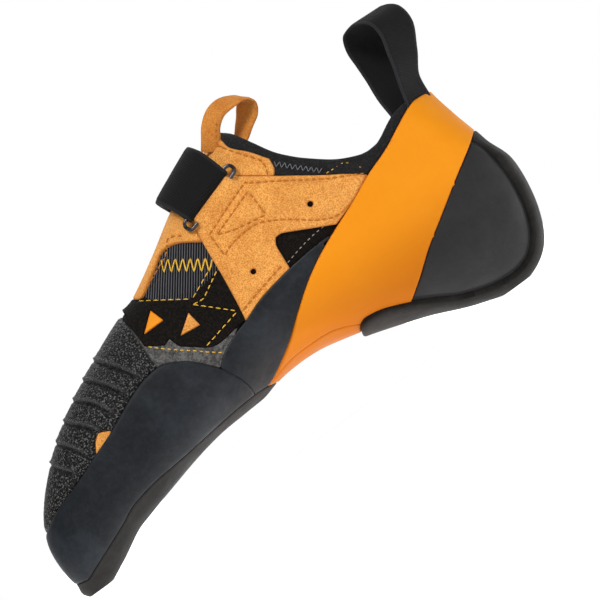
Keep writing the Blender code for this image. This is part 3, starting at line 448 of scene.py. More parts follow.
def make_grid(cell):
    """A mesh of the whole last, with one pole at the toe's tip."""
    corners = last(np.arange(len(ROWS)), 0.0), last(np.arange(len(ROWS)), math.pi)
    positions = [-0.66, -0.33]
    for i in range(len(ROWS) - 1):
        reach = max(math.dist(line[i], line[i + 1]) for line in corners)
        count = max(2, math.ceil(reach / cell))
        positions.extend(i + k / count for k in range(count))
    positions.append(len(ROWS) - 1.0)
    turns = np.linspace(0.0, 2.0 * math.pi, 4097)
    lengths = travelled(last(np.full(len(turns), BALL_ROW), turns))
    count = 2 * int(lengths[-1] / cell / 2.0)
    p, a = np.meshgrid(positions, even_marks(lengths, turns, count, endpoint=False), indexing="ij")
    params = np.vstack(((-1.0, 0.0), np.column_stack((p.ravel(), a.ravel()))))
    around = np.arange(count)
    triangles = np.vstack((
        grid_triangles(len(positions), count, closed=True) + 1,
        np.column_stack((np.zeros(count, int), 1 + around, 1 + (around + 1) % count)),
    ))
    return mesh_of_last(params, triangles, len(triangles) // 3)


def segment_distance(points, start, end):
    run = end - start
    share = np.clip(((points - start) @ run) / max(run @ run, 1e-18), 0.0, 1.0)
    return np.linalg.norm(points - (start + share[:, None] * run), axis=1), share


def inside_distance(points, polygon):
    """Distance to an outline of the side view, positive inside."""
    best = np.full(len(points), 1e9)
    inside = np.zeros(len(points), bool)
    for i in range(len(polygon)):
        start, end = polygon[i - 1], polygon[i]
        distance, _ = segment_distance(points, start, end)
        best = np.minimum(best, distance)
        crosses = (start[1] > points[:, 1]) != (end[1] > points[:, 1])
        if crosses.any():
            rise = end[1] - start[1] if abs(end[1] - start[1]) > 1e-12 else 1e-12
            at = start[0] + (points[:, 1] - start[1]) / rise * (end[0] - start[0])
            inside ^= crosses & (points[:, 0] < at)
    return np.where(inside, best, -best)


def line_distance(points, line):
    """Distance to a line of the side view, and how far along it the nearest point is, 0 to 1."""
    best = np.full(len(points), 1e9)
    along = np.zeros(len(points))
    starts = travelled(line)
    for i in range(len(line) - 1):
        distance, share = segment_distance(points, line[i], line[i + 1])
        nearer = distance < best
        best = np.where(nearer, distance, best)
        along = np.where(nearer, (starts[i] + share * (starts[i + 1] - starts[i])) / starts[-1], along)
    return best, along


def near_box(flat, shape, margin):
    """Which places of the side view lie within a margin of the box round a shape."""
    return ((flat > shape.min(axis=0) - margin) & (flat < shape.max(axis=0) + margin)).all(axis=1)


CREASE_LINES = [(smooth_line(side_points(row), 0.004), width * MM, height * MM, which)
                for row, width, height, which in CREASES]


def relief(points):
    """How far the creases move the surface out at points on the last."""
    moved = np.zeros(len(points))
    flat = points[:, [0, 2]]
    for line, width, height, which in CREASE_LINES:
        near = near_box(flat, line, 3.0 * width)
        if which:
            near &= points[:, 1] * which > 0.0
        if near.any():
            distance, along = line_distance(flat[near], line)
            moved[near] += height * ends(along, 4.0) * bell(distance, width)
    return moved


PARAMS, TRIANGLES, POINTS = make_grid(CELL)
SHIFT = np.array((float(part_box("upper")[0].x) - float(POINTS[:, 0].min()), 0.0, 0.0))
SIDE_TREE = BVHTree.FromPolygons(POINTS.tolist(), TRIANGLES.tolist())


def sides_of(triangles):
    return np.vstack((triangles[:, [0, 1]], triangles[:, [1, 2]], triangles[:, [2, 0]]))


def split(mesh, values, level, tolerance=3e-5):
    """Cut the triangles along a level of the values at their corners."""
    params, triangles = mesh
    kind = np.sign(np.where(np.abs(values - level) < tolerance, 0.0, values - level)).astype(int)
    corner = kind[triangles]
    mixed = (corner.min(axis=1) < 0) & (corner.max(axis=1) > 0)
    if not mixed.any():
        return mesh, values
    kept, cut = triangles[~mixed], triangles[mixed]
    edges = sides_of(cut)
    edges = edges[kind[edges[:, 0]] * kind[edges[:, 1]] < 0]
    edges = np.unique(np.sort(edges, axis=1), axis=0)
    first, second = values[edges[:, 0]], values[edges[:, 1]]
    share = ((level - first) / (second - first))[:, None]
    start, end = params[edges[:, 0]], params[edges[:, 1]]
    run = end - start
    run[:, 1] = (run[:, 1] + math.pi) % (2.0 * math.pi) - math.pi
    added = start + run * share
    size = len(params)
    lookup = {(int(i), int(j)): size + k for k, (i, j) in enumerate(edges)}
    params = np.vstack((params, added))
    values = np.concatenate((values, np.full(len(edges), level)))
    pieces = []
    for triangle in cut.tolist():
        signs = [int(kind[v]) for v in triangle]
        if 0 in signs:
            turn = signs.index(0)
            a, b, c = triangle[turn:] + triangle[:turn]
            middle = lookup[(b, c) if b < c else (c, b)]
            pieces.extend(((a, b, middle), (a, middle, c)))
        else:
            odd = 1 if sum(signs) < 0 else -1
            turn = signs.index(odd)
            a, b, c = triangle[turn:] + triangle[:turn]
            ab = lookup[(a, b) if a < b else (b, a)]
            ac = lookup[(a, c) if a < c else (c, a)]
            pieces.extend(((a, ab, ac), (ab, b, c), (ab, c, ac)))
    return (params, np.vstack((kept, np.array(pieces)))), values


def pack_mesh(params, triangles, values):
    used, inverse = np.unique(triangles, return_inverse=True)
    return params[used], inverse.reshape(triangles.shape), values[used]


def link(made):
    bpy.context.scene.collection.objects.link(made)
    return made


def new_object(name, points, faces, material, attributes, smooth_angle):
    mesh = bpy.data.meshes.new(name)
    mesh.from_pydata((np.asarray(points) + SHIFT).tolist(), [], [list(map(int, f)) for f in faces])
    for key, data in attributes.items():
        data = np.asarray(data, float)
        if data.ndim == 1:
            mesh.attributes.new(key, "FLOAT", "POINT").data.foreach_set("value", data)
        else:
            mesh.attributes.new(key, "FLOAT_VECTOR", "POINT").data.foreach_set("vector", data.ravel())
    mesh.validate()
    mesh.shade_smooth()
    mesh.set_sharp_from_angle(angle=math.radians(smooth_angle))
    mesh.materials.append(MATERIALS[material])
    return link(bpy.data.objects.new(name, mesh))


def finish_piece(made, nodes):
    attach(made, "root")
    if nodes:
        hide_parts(*nodes)


def layer(name, material, nodes, field, top, bottom=None, levels=ROUND_LEVELS,
          attributes=None, cells=None):
    """A closed layer over the last where field is positive.

    top and bottom give the heights over the last from (points, distances); levels are the
    distances from the edge at which the mesh is cut, so that its rounding stays even.
    """
    params, triangles, points = cells or (PARAMS, TRIANGLES, POINTS)
    values = field(points)
    near = values[triangles].max(axis=1) > -0.0005
    params, triangles, values = pack_mesh(params, triangles[near], values)
    for cut in (0.0, *levels):
        (params, triangles), values = split((params, triangles), values, cut)
    corner = values[triangles]
    keep = (corner.min(axis=1) > -SLIVER) & (corner.max(axis=1) > SLIVER)
    params, triangles, values = pack_mesh(params, triangles[keep], values)
    base, normal = last(*params.T), last_normal(*params.T)
    distance = np.maximum(values, 0.0)
    lift = relief(base)
    low = lift if bottom is None else bottom(base, distance) + lift
    upper = base + normal * (top(base, distance) + lift)[:, None]
    lower = base + normal * low[:, None]
    upper[:, 2] = np.maximum(upper[:, 2], 0.0)
    lower[:, 2] = np.maximum(lower[:, 2], GAP)
    count = len(base)
    edges = sides_of(triangles)
    _, first, times = np.unique(np.sort(edges, axis=1), axis=0, return_index=True, return_counts=True)
    start, end = edges[first[times == 1]].T
    faces = np.vstack((
        triangles, triangles[:, ::-1] + count,
        np.column_stack((end, start, start + count)), np.column_stack((end, start + count, end + count)),
    ))
    data = {"edge_mm": distance / MM, **(attributes(base, distance) if attributes else {})}
    data = {key: np.concatenate((value, value)) for key, value in data.items()}
    finish_piece(new_object(name, np.vstack((upper, lower)), faces, material, data, 38.0), nodes)


def boxed_distance(flat, polygon):
    """The distance to an outline, measured only near its box; elsewhere well outside."""
    near = near_box(flat, polygon, MARGIN)
    value = np.full(len(flat), -MARGIN)
    if near.any():
        value[near] = inside_distance(flat[near], polygon)
    return value


def within(*polygons, side_of=0, holes=(), not_in=()):
    """A field that is positive inside every outline, on one side of the shoe or on both."""
    def field(points):
        flat = points[:, [0, 2]]
        value = np.full(len(points), 1.0)
        for polygon in polygons:
            value = np.minimum(value, boxed_distance(flat, polygon))
        for polygon in not_in:
            value = np.minimum(value, -boxed_distance(flat, polygon))
        if side_of:
            value = np.minimum(value, points[:, 1] * side_of - OFF_MIDDLE)
        for x, z, radius in holes:
            value = np.minimum(value, np.hypot(flat[:, 0] - x, flat[:, 1] - z) - radius)
        return value
    return field


def rounded(base, thickness, radius, square=0.35, extra=None):
    """A height that rounds down to a share of the thickness at the edge, with extra added to it."""
    def height(points, distance):
        value = base + thickness * (square + (1.0 - square) * dome(distance / radius))
        return value if extra is None else value + extra(points, distance)
    return height


def level(value):
    return lambda points, distance: np.full(len(points), value)


def seen(points):
    """Where points of the side view, in mm as they look from the inner side, lie on the last."""
    found = []
    for u, z in points:
        aim = np.array(((u + SEEN_SHIFT[0]) * MM, 0.0, (z + SEEN_SHIFT[1]) * MM))
        hit = SIDE_TREE.ray_cast(Vector(EYE), Vector(aim - EYE).normalized())[0]
        if hit is None:
            hit = SIDE_TREE.find_nearest(Vector(aim + (EYE - aim) * 0.02))[0]
        found.append((hit.x, hit.z))
    return np.array(found)


def seam(*points, curved=True):
    """A seam's line in the side view, from points read as they look from the inner side."""
    line = seen(points)
    return smooth_line(line, 0.0008) if curved and len(line) > 2 else even_steps(line, 0.0008)


PANEL_SEAMS = [
    seam((85.4, 89.9), (89.0, 87.5), (94.1, 84.1), (99.0, 80.8), (103.6, 77.8)),
    seam((103.0, 75.0), (108.5, 74.4), (120.5, 81.0), curved=False),
    seam((104.8, 77.2), (120.5, 84.3), curved=False),
    seam((103.2, 75.2), (117.0, 62.0), curved=False),
    seam((97.2, 57.2), (116.8, 61.6), curved=False),
    seam((77.0, 71.5), (84.0, 65.0), (93.0, 57.5), (101.5, 50.8)),
]
FRAME_SEAMS = [
    seam((150.5, 131.0), (152.3, 125.0), (155.0, 120.5), (160.0, 113.5), (163.6, 108.5), (163.9, 105.0),
         (162.4, 101.0)),
    seam((88.0, 93.8), (97.0, 99.6), (105.0, 103.4), (112.0, 103.9), (118.0, 101.0)),
]
ANCHOR_SEAMS = [
    seam((126.8, 95.0), (151.3, 104.0), (153.6, 103.4), (165.0, 96.4), (180.0, 86.4), (197.0, 77.4)),
    seam((129.5, 93.2), (151.5, 100.6), (151.8, 88.0), curved=False),
    seam((151.8, 88.0), (144.0, 89.3), (136.0, 91.0), (129.5, 93.2)),
    seam((127.0, 95.0), (127.0, 84.0), curved=False),
    seam((127.0, 84.0), (132.0, 86.2), (140.0, 87.4), (147.0, 86.8), (153.5, 83.8), (160.5, 79.2),
         (168.0, 73.4), (176.0, 69.8), (184.0, 70.4), (191.0, 73.4), (197.0, 77.0)),
    seam((119.0, 60.4), (130.0, 63.2), (144.5, 66.4)),
]
CUFF_SEAMS = [
    seam((182.7, 87.1), (188.9, 86.7), (192.3, 86.5), curved=False),
    seam((192.3, 86.5), (197.3, 79.6), curved=False),
    seam((167.5, 103.6), (174.6, 96.4), (182.3, 89.1)),
]
CUFF_TAB = seen(((186.2, 91.6), (190.6, 88.9), (201.0, 79.0), (196.0, 76.0), (183.4, 86.0)))
GAP_SEAMS = [seam((146.6, 65.8), (154.0, 67.6), (162.0, 69.0), (169.5, 69.6))]


def sewn(seams, depth=0.0005, width=0.0006):
    """A soft groove along seams."""
    def groove(points, distance):
        flat = points[:, [0, 2]]
        moved = np.zeros(len(points))
        for line in seams:
            near = near_box(flat, line, 0.003)
            if near.any():
                span, _ = line_distance(flat[near], line[::3] if len(line) > 9 else line)
                moved[near] = np.minimum(moved[near], -depth * bell(span, width))
        return moved * smoothstep(distance / 0.0006)
    return groove


EDGES = {
    "collar": outline(COLLAR, ABOVE_COLLAR),
    "front_outsole": outline(SOLE_EDGE, SOLE_TAIL, DOWN),
    "heel_sole": outline(HEEL_RIM, BAND_REAR[7:], ((106.0, 86.0), (106.0, -20.0), (62.6, -20.0))),
    "toe_rand": outline(SOLE_EDGE, RAND_REAR[::-1], RAND_TOP[::-1]),
    "side_rand": outline(RAND_REAR[5:], ((43.8, 20.7),), BAND_FRONT[1:8], SIDE_TOP[::-1]),
    "heel_band": outline(BAND_FRONT, BAND_REAR[::-1], HEEL_RIM[6::-1],
                         ((62.6, -20.0), (49.8, -20.0)), SOLE_TAIL[:0:-1]),
    "heel_side": outline(BAND_REAR[:7], HEEL_RIM[:5:-1]),
    "toe_patch": outline(RAND_TOP, RAND_REAR[1:5], PATCH_TAIL[::-1], PATCH_REAR, ((-6.0, 90.0),)),
    "side_panel": outline(PATCH_REAR[::-1], PATCH_TAIL[1:9], PANEL_TOP[::-1]),
    "inlay_rear": outline(INLAY_REAR),
    "inlay_front": outline(INLAY_FRONT),
    "frame": outline(FRAME_FOOT, FRAME_REAR),
    "anchor": outline(ANCHOR_TOP, ANCHOR_FOOT),
    "window": outline(WINDOW),
    "cuff": outline(CUFF_FOOT, ((106.0, 125.0), (61.5, 125.0)), FRAME_REAR[::-1]),
    "notch": outline(TOE_NOTCH),
}


class Shader:
    """A material's nodes, added one by one and joined to the shader's sockets."""

    def __init__(self, name, roughness, colour=(0.5, 0.5, 0.5), **values):
        self.material = bpy.data.materials.new(name)
        self.material.use_nodes = True
        self.tree = self.material.node_tree
        self.main = self.tree.nodes["Principled BSDF"]
        self.main.inputs["Base Color"].default_value = (*colour, 1.0)
        self.main.inputs["Roughness"].default_value = roughness
        for key, value in values.items():
            self.main.inputs[key.replace("_", " ")].default_value = value
        self.bumped = None
        self.place = self.node("ShaderNodeTexCoord").outputs["Object"]

    def node(self, kind, inputs=None, **settings):
        made = self.tree.nodes.new(kind)
        for key, value in settings.items():
            setattr(made, key, value)
        for key, value in (inputs or {}).items():
            if isinstance(value, bpy.types.NodeSocket):
                self.tree.links.new(value, made.inputs[key])
            else:
                made.inputs[key].default_value = value
        return made

    def noise(self, scale, detail=3.0, roughness=0.5, distortion=0.0, vector=None):
        return self.node("ShaderNodeTexNoise", {
            "Vector": vector or self.place, "Scale": scale, "Detail": detail,
            "Roughness": roughness, "Distortion": distortion,
        }).outputs["Fac"]

    def attribute(self, name, output="Fac"):
        return self.node("ShaderNodeAttribute", attribute_name=name).outputs[output]

    def ramp(self, value, low, high, first=0.0, second=1.0):
        return self.node("ShaderNodeMapRange", {
            "Value": value, "From Min": low, "From Max": high, "To Min": first, "To Max": second,
        }, interpolation_type="SMOOTHSTEP").outputs["Result"]

    def maths(self, operation, first, second=0.0):
        return self.node("ShaderNodeMath", {0: first, 1: second}, operation=operation).outputs[0]

    def mix(self, factor, first, second):
        made = self.node("ShaderNodeMix", data_type="RGBA")
        for socket, value in ((made.inputs[0], factor), (made.inputs[6], first), (made.inputs[7], second)):
            if isinstance(value, bpy.types.NodeSocket):
                self.tree.links.new(value, socket)
            elif isinstance(value, tuple):
                socket.default_value = (*value, 1.0)
            else:
                socket.default_value = value
        return made.outputs[2]

    def join(self, name, value):
        self.tree.links.new(value, self.main.inputs[name])

    def bump(self, height, distance, strength=1.0):
        inputs = {"Height": height, "Distance": distance, "Strength": strength}
        if self.bumped is not None:
            inputs["Normal"] = self.bumped
        self.bumped = self.node("ShaderNodeBump", inputs).outputs["Normal"]
        self.join("Normal", self.bumped)
        return self


def rubber(name, dark, pale, roughness, cloud=0.5, grain=0.00004, painted_edge_shading=None, painted_low_shade=None):
    """Smooth rubber with faint dusty clouds and a fine grain, and optional painted light: a band along the
    edges and shade over the lower part.
    """
    made = Shader(name, roughness, dark, Specular_IOR_Level=0.12 if painted_low_shade else 0.25)
    clouds = made.ramp(made.noise(38.0, 6.0, 0.62, 0.6), 0.38, 0.78, 0.0, cloud)
    fine = made.ramp(made.noise(420.0, 4.0, 0.6), 0.3, 0.8, 0.0, cloud * 0.5)
    colour = made.mix(made.maths("ADD", clouds, fine), dark, pale)
    # Painted light along the edge: a band within 0.7 mm of it takes the edge colour, which is a painted
    # highlight on the rand and painted shade on the heel rubber and the band.
    if painted_edge_shading:
        rim = made.ramp(made.attribute("edge_mm"), 0.0, 0.7, 0.8, 0.0)
        colour = made.mix(rim, colour, painted_edge_shading)
    # Painted shade: the rubber is painted darker toward the bottom, below about 62 mm up.
    if painted_low_shade:
        height = made.node("ShaderNodeSeparateXYZ", {0: made.place}).outputs[2]
        colour = made.mix(made.ramp(height, 0.022, 0.062, 0.9, 0.0), colour, painted_low_shade)
    made.join("Base Color", colour)
    mottle = made.ramp(made.noise(60.0, 5.0, 0.6), 0.3, 0.7, roughness - 0.06, roughness + 0.1)
    made.join("Roughness", mottle)
    made.bump(made.noise(900.0, 4.0, 0.6), grain * 2.0, 0.6)
    made.bump(made.noise(24.0, 2.0, 0.5), 0.0005, 0.35)
    return made


def suede(name, light, dark, deep):
    made = Shader(name, 0.95, light, Specular_IOR_Level=0.15, Sheen_Weight=0.35, Sheen_Roughness=0.45,
                  Sheen_Tint=(1.0, 0.75, 0.45, 1.0))
    speckle = made.ramp(made.noise(1700.0, 4.0, 0.7), 0.40, 0.64)
    blotch = made.ramp(made.noise(110.0, 5.0, 0.6, 0.4), 0.32, 0.72)
    colour = made.mix(speckle, light, dark)
    colour = made.mix(made.maths("MULTIPLY", blotch, 0.35), colour, deep)
    # Painted shade along the edges: within 0.6 mm of an edge the colour darkens toward the deep colour.
    rim = made.ramp(made.attribute("edge_mm"), 0.0, 0.6, 0.55, 0.0)
    made.join("Base Color", made.mix(rim, colour, deep))
    made.bump(made.noise(1900.0, 6.0, 0.8), 0.00035, 0.7)
    made.bump(made.noise(300.0, 4.0, 0.6), 0.0004, 0.35)
    return made


def cloth(name, dark, pale, scale, distance, roughness=0.85, sheen=0.15):
    made = Shader(name, roughness, dark, Specular_IOR_Level=0.1, Sheen_Weight=sheen, Sheen_Roughness=0.5)
    grain = made.noise(scale, 4.0, 0.7)
    made.join("Base Color", made.mix(made.ramp(grain, 0.4, 0.75), dark, pale))
    made.bump(grain, distance, 0.7)
    made.bump(made.noise(140.0, 3.0, 0.5), 0.0006, 0.35)
    return made


def webbing(name, dark, pale, pitch, across_pitch, depth, width):
    """Woven webbing from its own lengthwise and crosswise coordinates, in mm."""
    made = Shader(name, 0.8, dark, Specular_IOR_Level=0.15, Sheen_Weight=0.02, Sheen_Roughness=0.5)
    parts = made.node("ShaderNodeSeparateXYZ", {0: made.attribute("weave_mm", "Vector")})
    along, across = parts.outputs[0], parts.outputs[1]
    warp = made.maths("SINE", made.maths("MULTIPLY", across, 2.0 * math.pi / across_pitch))
    weft = made.maths("SINE", made.maths("MULTIPLY", along, 2.0 * math.pi / pitch))
    twill = made.maths("MULTIPLY", warp, weft)
    height = made.maths("ADD", made.maths("MULTIPLY", weft, 0.6), twill)
    off_middle = made.maths("ABSOLUTE", made.maths("SUBTRACT", across, width / 2.0))
    # Painted highlight: a pale line along both selvages.
    painted_selvage_highlight = made.ramp(off_middle, width / 2.0 - 1.0, width / 2.0 - 0.5, 0.0, 0.6)
    colour = made.mix(made.ramp(height, -1.0, 1.6), dark, pale)
    made.join("Base Color", made.mix(painted_selvage_highlight, colour, tuple(2.2 * value for value in pale)))
    made.bump(height, depth, 0.8)
    made.bump(made.noise(1800.0, 4.0, 0.7), 0.00012, 0.6)
    return made


def build_materials():
    made = {
        "lining": cloth("lining_knit", (0.008, 0.008, 0.009), (0.024, 0.025, 0.028), 1500.0, 0.00025),
        "microfibre": cloth("microfibre_nap", (0.004, 0.0032, 0.0026), (0.018, 0.014, 0.011), 1300.0, 0.0003,
                            0.9, 0.02),
        "cuff": cloth("cuff_knit", (0.009, 0.009, 0.0095), (0.031, 0.031, 0.033), 1700.0, 0.0002, 0.8, 0.08),
        "insole": cloth("insole_felt", (0.045, 0.045, 0.046), (0.10, 0.10, 0.10), 900.0, 0.0004),
        "suede": suede("suede_orange_nap", (1.0, 0.49, 0.125), (0.64, 0.215, 0.030), (0.50, 0.14, 0.014)),
        # The rand's edge colour is paler, a painted highlight; the heel rubber's and the band's are darker,
        # painted shade.
        "rand": rubber("rand_rubber", (0.0032, 0.0050, 0.0074), (0.018, 0.022, 0.028), 0.55, 0.9,
                       painted_edge_shading=(0.022, 0.025, 0.030)),
        "heel_rubber": rubber("heel_rubber_satin", (0.015, 0.0143, 0.015), (0.027, 0.026, 0.027), 0.55, 0.5,
                              painted_edge_shading=(0.005, 0.005, 0.005)),
        "sole": rubber("sole_rubber_ground", (0.007, 0.0064, 0.0058), (0.028, 0.025, 0.022), 0.65, 0.6,
                       0.0001),
        # The band's low colour paints shade over its lower part.
        "orange_rubber": rubber("band_rubber_orange", (0.86, 0.285, 0.006), (0.90, 0.33, 0.014), 0.55, 0.4,
                                0.00003, painted_edge_shading=(0.70, 0.17, 0.004), painted_low_shade=(0.48, 0.128, 0.0015)),
        "webbing": webbing("webbing_weave", (0.0035, 0.0035, 0.0035), (0.011, 0.011, 0.011), 0.85, 1.1,
                           0.00012, STRAP_WIDTH / MM),
        "loop_webbing": webbing("loop_webbing_weave", (0.005, 0.005, 0.0055), (0.016, 0.016, 0.018), 0.6, 0.9,
                                0.00015, HEEL_LOOP_WIDTH / MM),
    }
    patch = Shader("patch_rubber_pebbled", 0.5, (0.014, 0.014, 0.014), Specular_IOR_Level=0.22)
    pebble = patch.node("ShaderNodeTexVoronoi", {
        "Vector": patch.place, "Scale": 1150.0, "Randomness": 1.0,
    }, feature="SMOOTH_F1").outputs["Distance"]
    # Pale specks, partly dusty grit and partly painted glints of light on the pebbled rubber.
    dust_and_glints = patch.ramp(patch.noise(1350.0, 2.0, 0.6), 0.55, 0.62)
    tail = patch.attribute("tail")
    colour = patch.mix(dust_and_glints, (0.0012, 0.0012, 0.0012), (0.12, 0.119, 0.116))
    # Painted reflection: the tail is painted a mottled grey, standing in for light its glossy rubber
    # reflects.
    mottle = patch.ramp(patch.noise(420.0, 5.0, 0.8, 0.6), 0.36, 0.68)
    colour = patch.mix(tail, colour, patch.mix(mottle, (0.035, 0.035, 0.035), (0.17, 0.163, 0.152)))
    # Painted highlight on each rib's crest and painted shade in the groove ahead of it.
    colour = patch.mix(patch.maths("MULTIPLY", patch.attribute("rib"), 0.75), colour, (0.075, 0.075, 0.075))
    patch.join("Base Color", patch.mix(patch.attribute("groove"), colour, (0.002, 0.002, 0.002)))
    patch.join("Roughness", patch.ramp(patch.noise(1900.0, 3.0, 0.6), 0.35, 0.65, 0.34, 0.75))
    patch.bump(pebble, 0.0007, 1.0)
    patch.bump(patch.noise(420.0, 4.0, 0.6), 0.0004, 0.6)
    made["patch"] = patch
    elastic = Shader("elastic_ribbed", 0.75, (0.020, 0.021, 0.024), Specular_IOR_Level=0.15)
    # Painted light on the ribs: their crests are painted pale as a highlight and the troughs dark as shade.
    ribs = elastic.attribute("rib")
    colour = elastic.mix(elastic.ramp(ribs, 0.35, 0.95), (0.003, 0.003, 0.004), (0.11, 0.11, 0.12))
    elastic.join("Base Color", colour)
    elastic.bump(elastic.noise(2200.0, 3.0, 0.6), 0.0002, 0.7)
    made["elastic"] = elastic
    metal = Shader("ring_steel", 0.2, (0.07, 0.07, 0.075), Metallic=1.0)
    metal.join("Roughness", metal.ramp(metal.noise(900.0, 3.0, 0.6), 0.3, 0.7, 0.14, 0.30))
    metal.bump(metal.noise(600.0, 3.0, 0.5), 0.00005, 0.5)
    made["metal"] = metal
    for key, dark, pale in (
        ("thread_yellow", (0.62, 0.33, 0.02), (0.95, 0.60, 0.08)),
        ("thread_orange", (0.42, 0.13, 0.010), (0.66, 0.24, 0.025)),
        ("thread_pale", (0.20, 0.18, 0.14), (0.50, 0.46, 0.36)),
        ("thread_grey", (0.08, 0.08, 0.085), (0.26, 0.26, 0.27)),
    ):
        thread = Shader(key, 0.7, pale, Specular_IOR_Level=0.3)
        twist = thread.noise(2600.0, 2.0, 0.5)
        thread.join("Base Color", thread.mix(thread.ramp(twist, 0.3, 0.7), dark, pale))
        thread.bump(twist, 0.00012, 0.7)
        made[key] = thread
    return {key: value.material for key, value in made.items()}


MATERIALS = build_materials()


def fine_mesh(key, which=0, under=False, cell=None):
    """A finer even mesh of the last round one outline; under takes it round beneath the foot too."""
    cell = (cell or CELLS[key]) * FINE
    inside = near_box(POINTS[:, [0, 2]], EDGES[key], MARGIN) & (PARAMS[:, 0] > 0.0)
    if which:
        inside &= POINTS[:, 1] * which > -MARGIN
    (p0, a0), (p1, a1) = PARAMS[inside].min(axis=0), PARAMS[inside].max(axis=0)
    a0, a1 = (0.0, 2.0 * math.pi) if under else (max(a0, 0.12), min(a1, 2.0 * math.pi - 0.12))
    marks = np.linspace(p0, p1, 400)
    lines = [last(marks, np.full(400, angle)) for angle in np.linspace(a0, a1, 9)]
    widest = np.max([np.diff(travelled(line)) for line in lines], axis=0)
    lengths = np.concatenate(([0.0], np.cumsum(widest)))
    positions = even_marks(lengths, marks, int(lengths[-1] / cell) + 2)
    turns = np.linspace(a0, a1, 2000)
    lengths = travelled(last(np.full(2000, (p0 + p1) / 2.0), turns))
    angles = even_marks(lengths, turns, int(lengths[-1] / cell) + 2)
    p, a = np.meshgrid(positions, angles, indexing="ij")
    triangles = grid_triangles(len(positions), len(angles))
    return mesh_of_last(np.column_stack((p.ravel(), a.ravel())), triangles, len(triangles) // 4)


def make_upper():
    """The sock itself: a wall that is open at the collar and at the elastic's window."""
    def field(points):
        flat = points[:, [0, 2]]
        window = np.where(points[:, 1] < -0.004, -inside_distance(flat, EDGES["window"]), 1.0)
        return np.minimum(-inside_distance(flat, EDGES["collar"]), window)
    half = WALL / 2.0
    layer("upper_sock", "microfibre", ("upper",), field, rounded(-half, half, 0.0008),
          level(-WALL), (0.0004, 0.001), cells=make_grid(CELL * 1.5))


def make_insole():
    """The footbed, lying on the inside of the upper."""
    inset = WALL + GAP
    first, final = INSOLE_ROWS
    line = side_points([row[:2] for row in SECTIONS[first:final + 1]]) + (0.0, inset + INSOLE)
    area = np.vstack((line, (line[-1][0], -0.03), (line[0][0], -0.03)))
    inner = POINTS - last_normal(*PARAMS.T) * inset
    layer("insole_felt", "insole", ("insole",),
          lambda points: inside_distance(inner[:, [0, 2]], area), level(-inset),
          lambda points, distance: -inset - np.minimum(INSOLE, 0.0003 + distance * 0.5), (0.001, 0.003))


ARCH = np.vstack((
    seam((107.0, 28.8), (110.3, 30.2), (123.4, 33.4), (135.9, 33.7), (146.3, 32.6), (156.4, 28.6),
         (161.0, 25.0)),
    ((0.175, -0.02), (0.105, -0.02)),
))


def make_rubber():
    layer("front_outsole_rubber", "sole", ("front_outsole",), within(EDGES["front_outsole"]),
          outsole_height, levels=(0.0002, 0.0006, 0.0014, 0.0026, 0.0040))
    layer("heel_sole_rubber", "sole", ("heel_sole",), within(EDGES["heel_sole"]), rim_height)
    layer("toe_rand_rubber", "rand", ("toe_rand",), within(EDGES["toe_rand"]),
          rounded(GAP, RUBBER, 0.0014, 0.45))
    for name, which in (("inner", -1), ("outer", 1)):
        layer(f"side_rand_{name}_rubber", "rand", (f"side_rand_{name}",),
              within(EDGES["side_rand"], side_of=which), rounded(GAP, SIDE_RUBBER, 0.0010, 0.6))
        layer(f"heel_side_{name}_rubber", "heel_rubber", (f"heel_side_{name}",),
              within(EDGES["heel_side"], side_of=which), heel_side_height,
              cells=fine_mesh("heel_side", which))
    cells = fine_mesh("heel_band", under=True)
    layer("heel_band_rubber", "orange_rubber", ("heel_band",),
          within(EDGES["heel_band"], not_in=(ARCH,)), rounded(GAP, RUBBER, 0.0007, 0.5), cells=cells)
    layer("arch_band_rubber", "orange_rubber", (), within(EDGES["heel_band"], ARCH),
          rounded(GAP, RUBBER - 0.0001, 0.0007, 0.5), cells=cells)


def outsole_height(points, distance):
    """A thin edge against the rand that thickens to the full sole a few millimetres below it."""
    body = smoothstep((distance - 0.0003) / 0.0040)
    return GAP + SOLE * (0.42 * (0.75 + 0.25 * dome(distance / 0.0006)) + 0.58 * body)


def rim_height(points, distance):
    """The heel's sole, thinner where its rim runs out against the band."""
    thin = 1.0 - 0.5 * smoothstep((points[:, 2] - 0.045) / 0.014)
    return GAP + SOLE * (0.72 + 0.28 * dome(distance / 0.0014)) * thin


def heel_side_height(points, distance):
    """Nearly flush with the band, with a groove along the rim."""
    rim, _ = line_distance(points[:, [0, 2]], outline(HEEL_RIM[6:]))
    return GAP + HEEL_RUBBER * (0.5 + 0.5 * dome(distance / 0.001)) - 0.0011 * bell(rim - 0.0008, 0.0006)


RIB_LINES = [smooth_line(side_points(row)) for row in RIBS]


def rib_profile(points, distance):
    """Signed distance ahead of the nearest rib across the toes, and how strong the rib is there."""
    flat = points[:, [0, 2]]
    nearest_span = np.full(len(points), 1.0)
    strength = np.zeros(len(points))
    for line in RIB_LINES:
        near = np.abs(flat[:, 0] - line[:, 0].mean()) < 0.03
        if not near.any():
            continue
        span, along = line_distance(flat[near], line)
        index = np.clip((along * (len(line) - 1)).astype(int), 0, len(line) - 2)
        run = line[index + 1] - line[index]
        gap = flat[near] - line[index]
        ahead = np.sign(run[:, 0] * gap[:, 1] - run[:, 1] * gap[:, 0]) * span
        closer = np.abs(ahead) < np.abs(nearest_span[near])
        spot = np.flatnonzero(near)[closer]
        nearest_span[spot] = ahead[closer]
        strength[spot] = (smoothstep((1.0 - along) * 5.0) * smoothstep(distance[near] / 0.0015))[closer]
    return nearest_span, strength


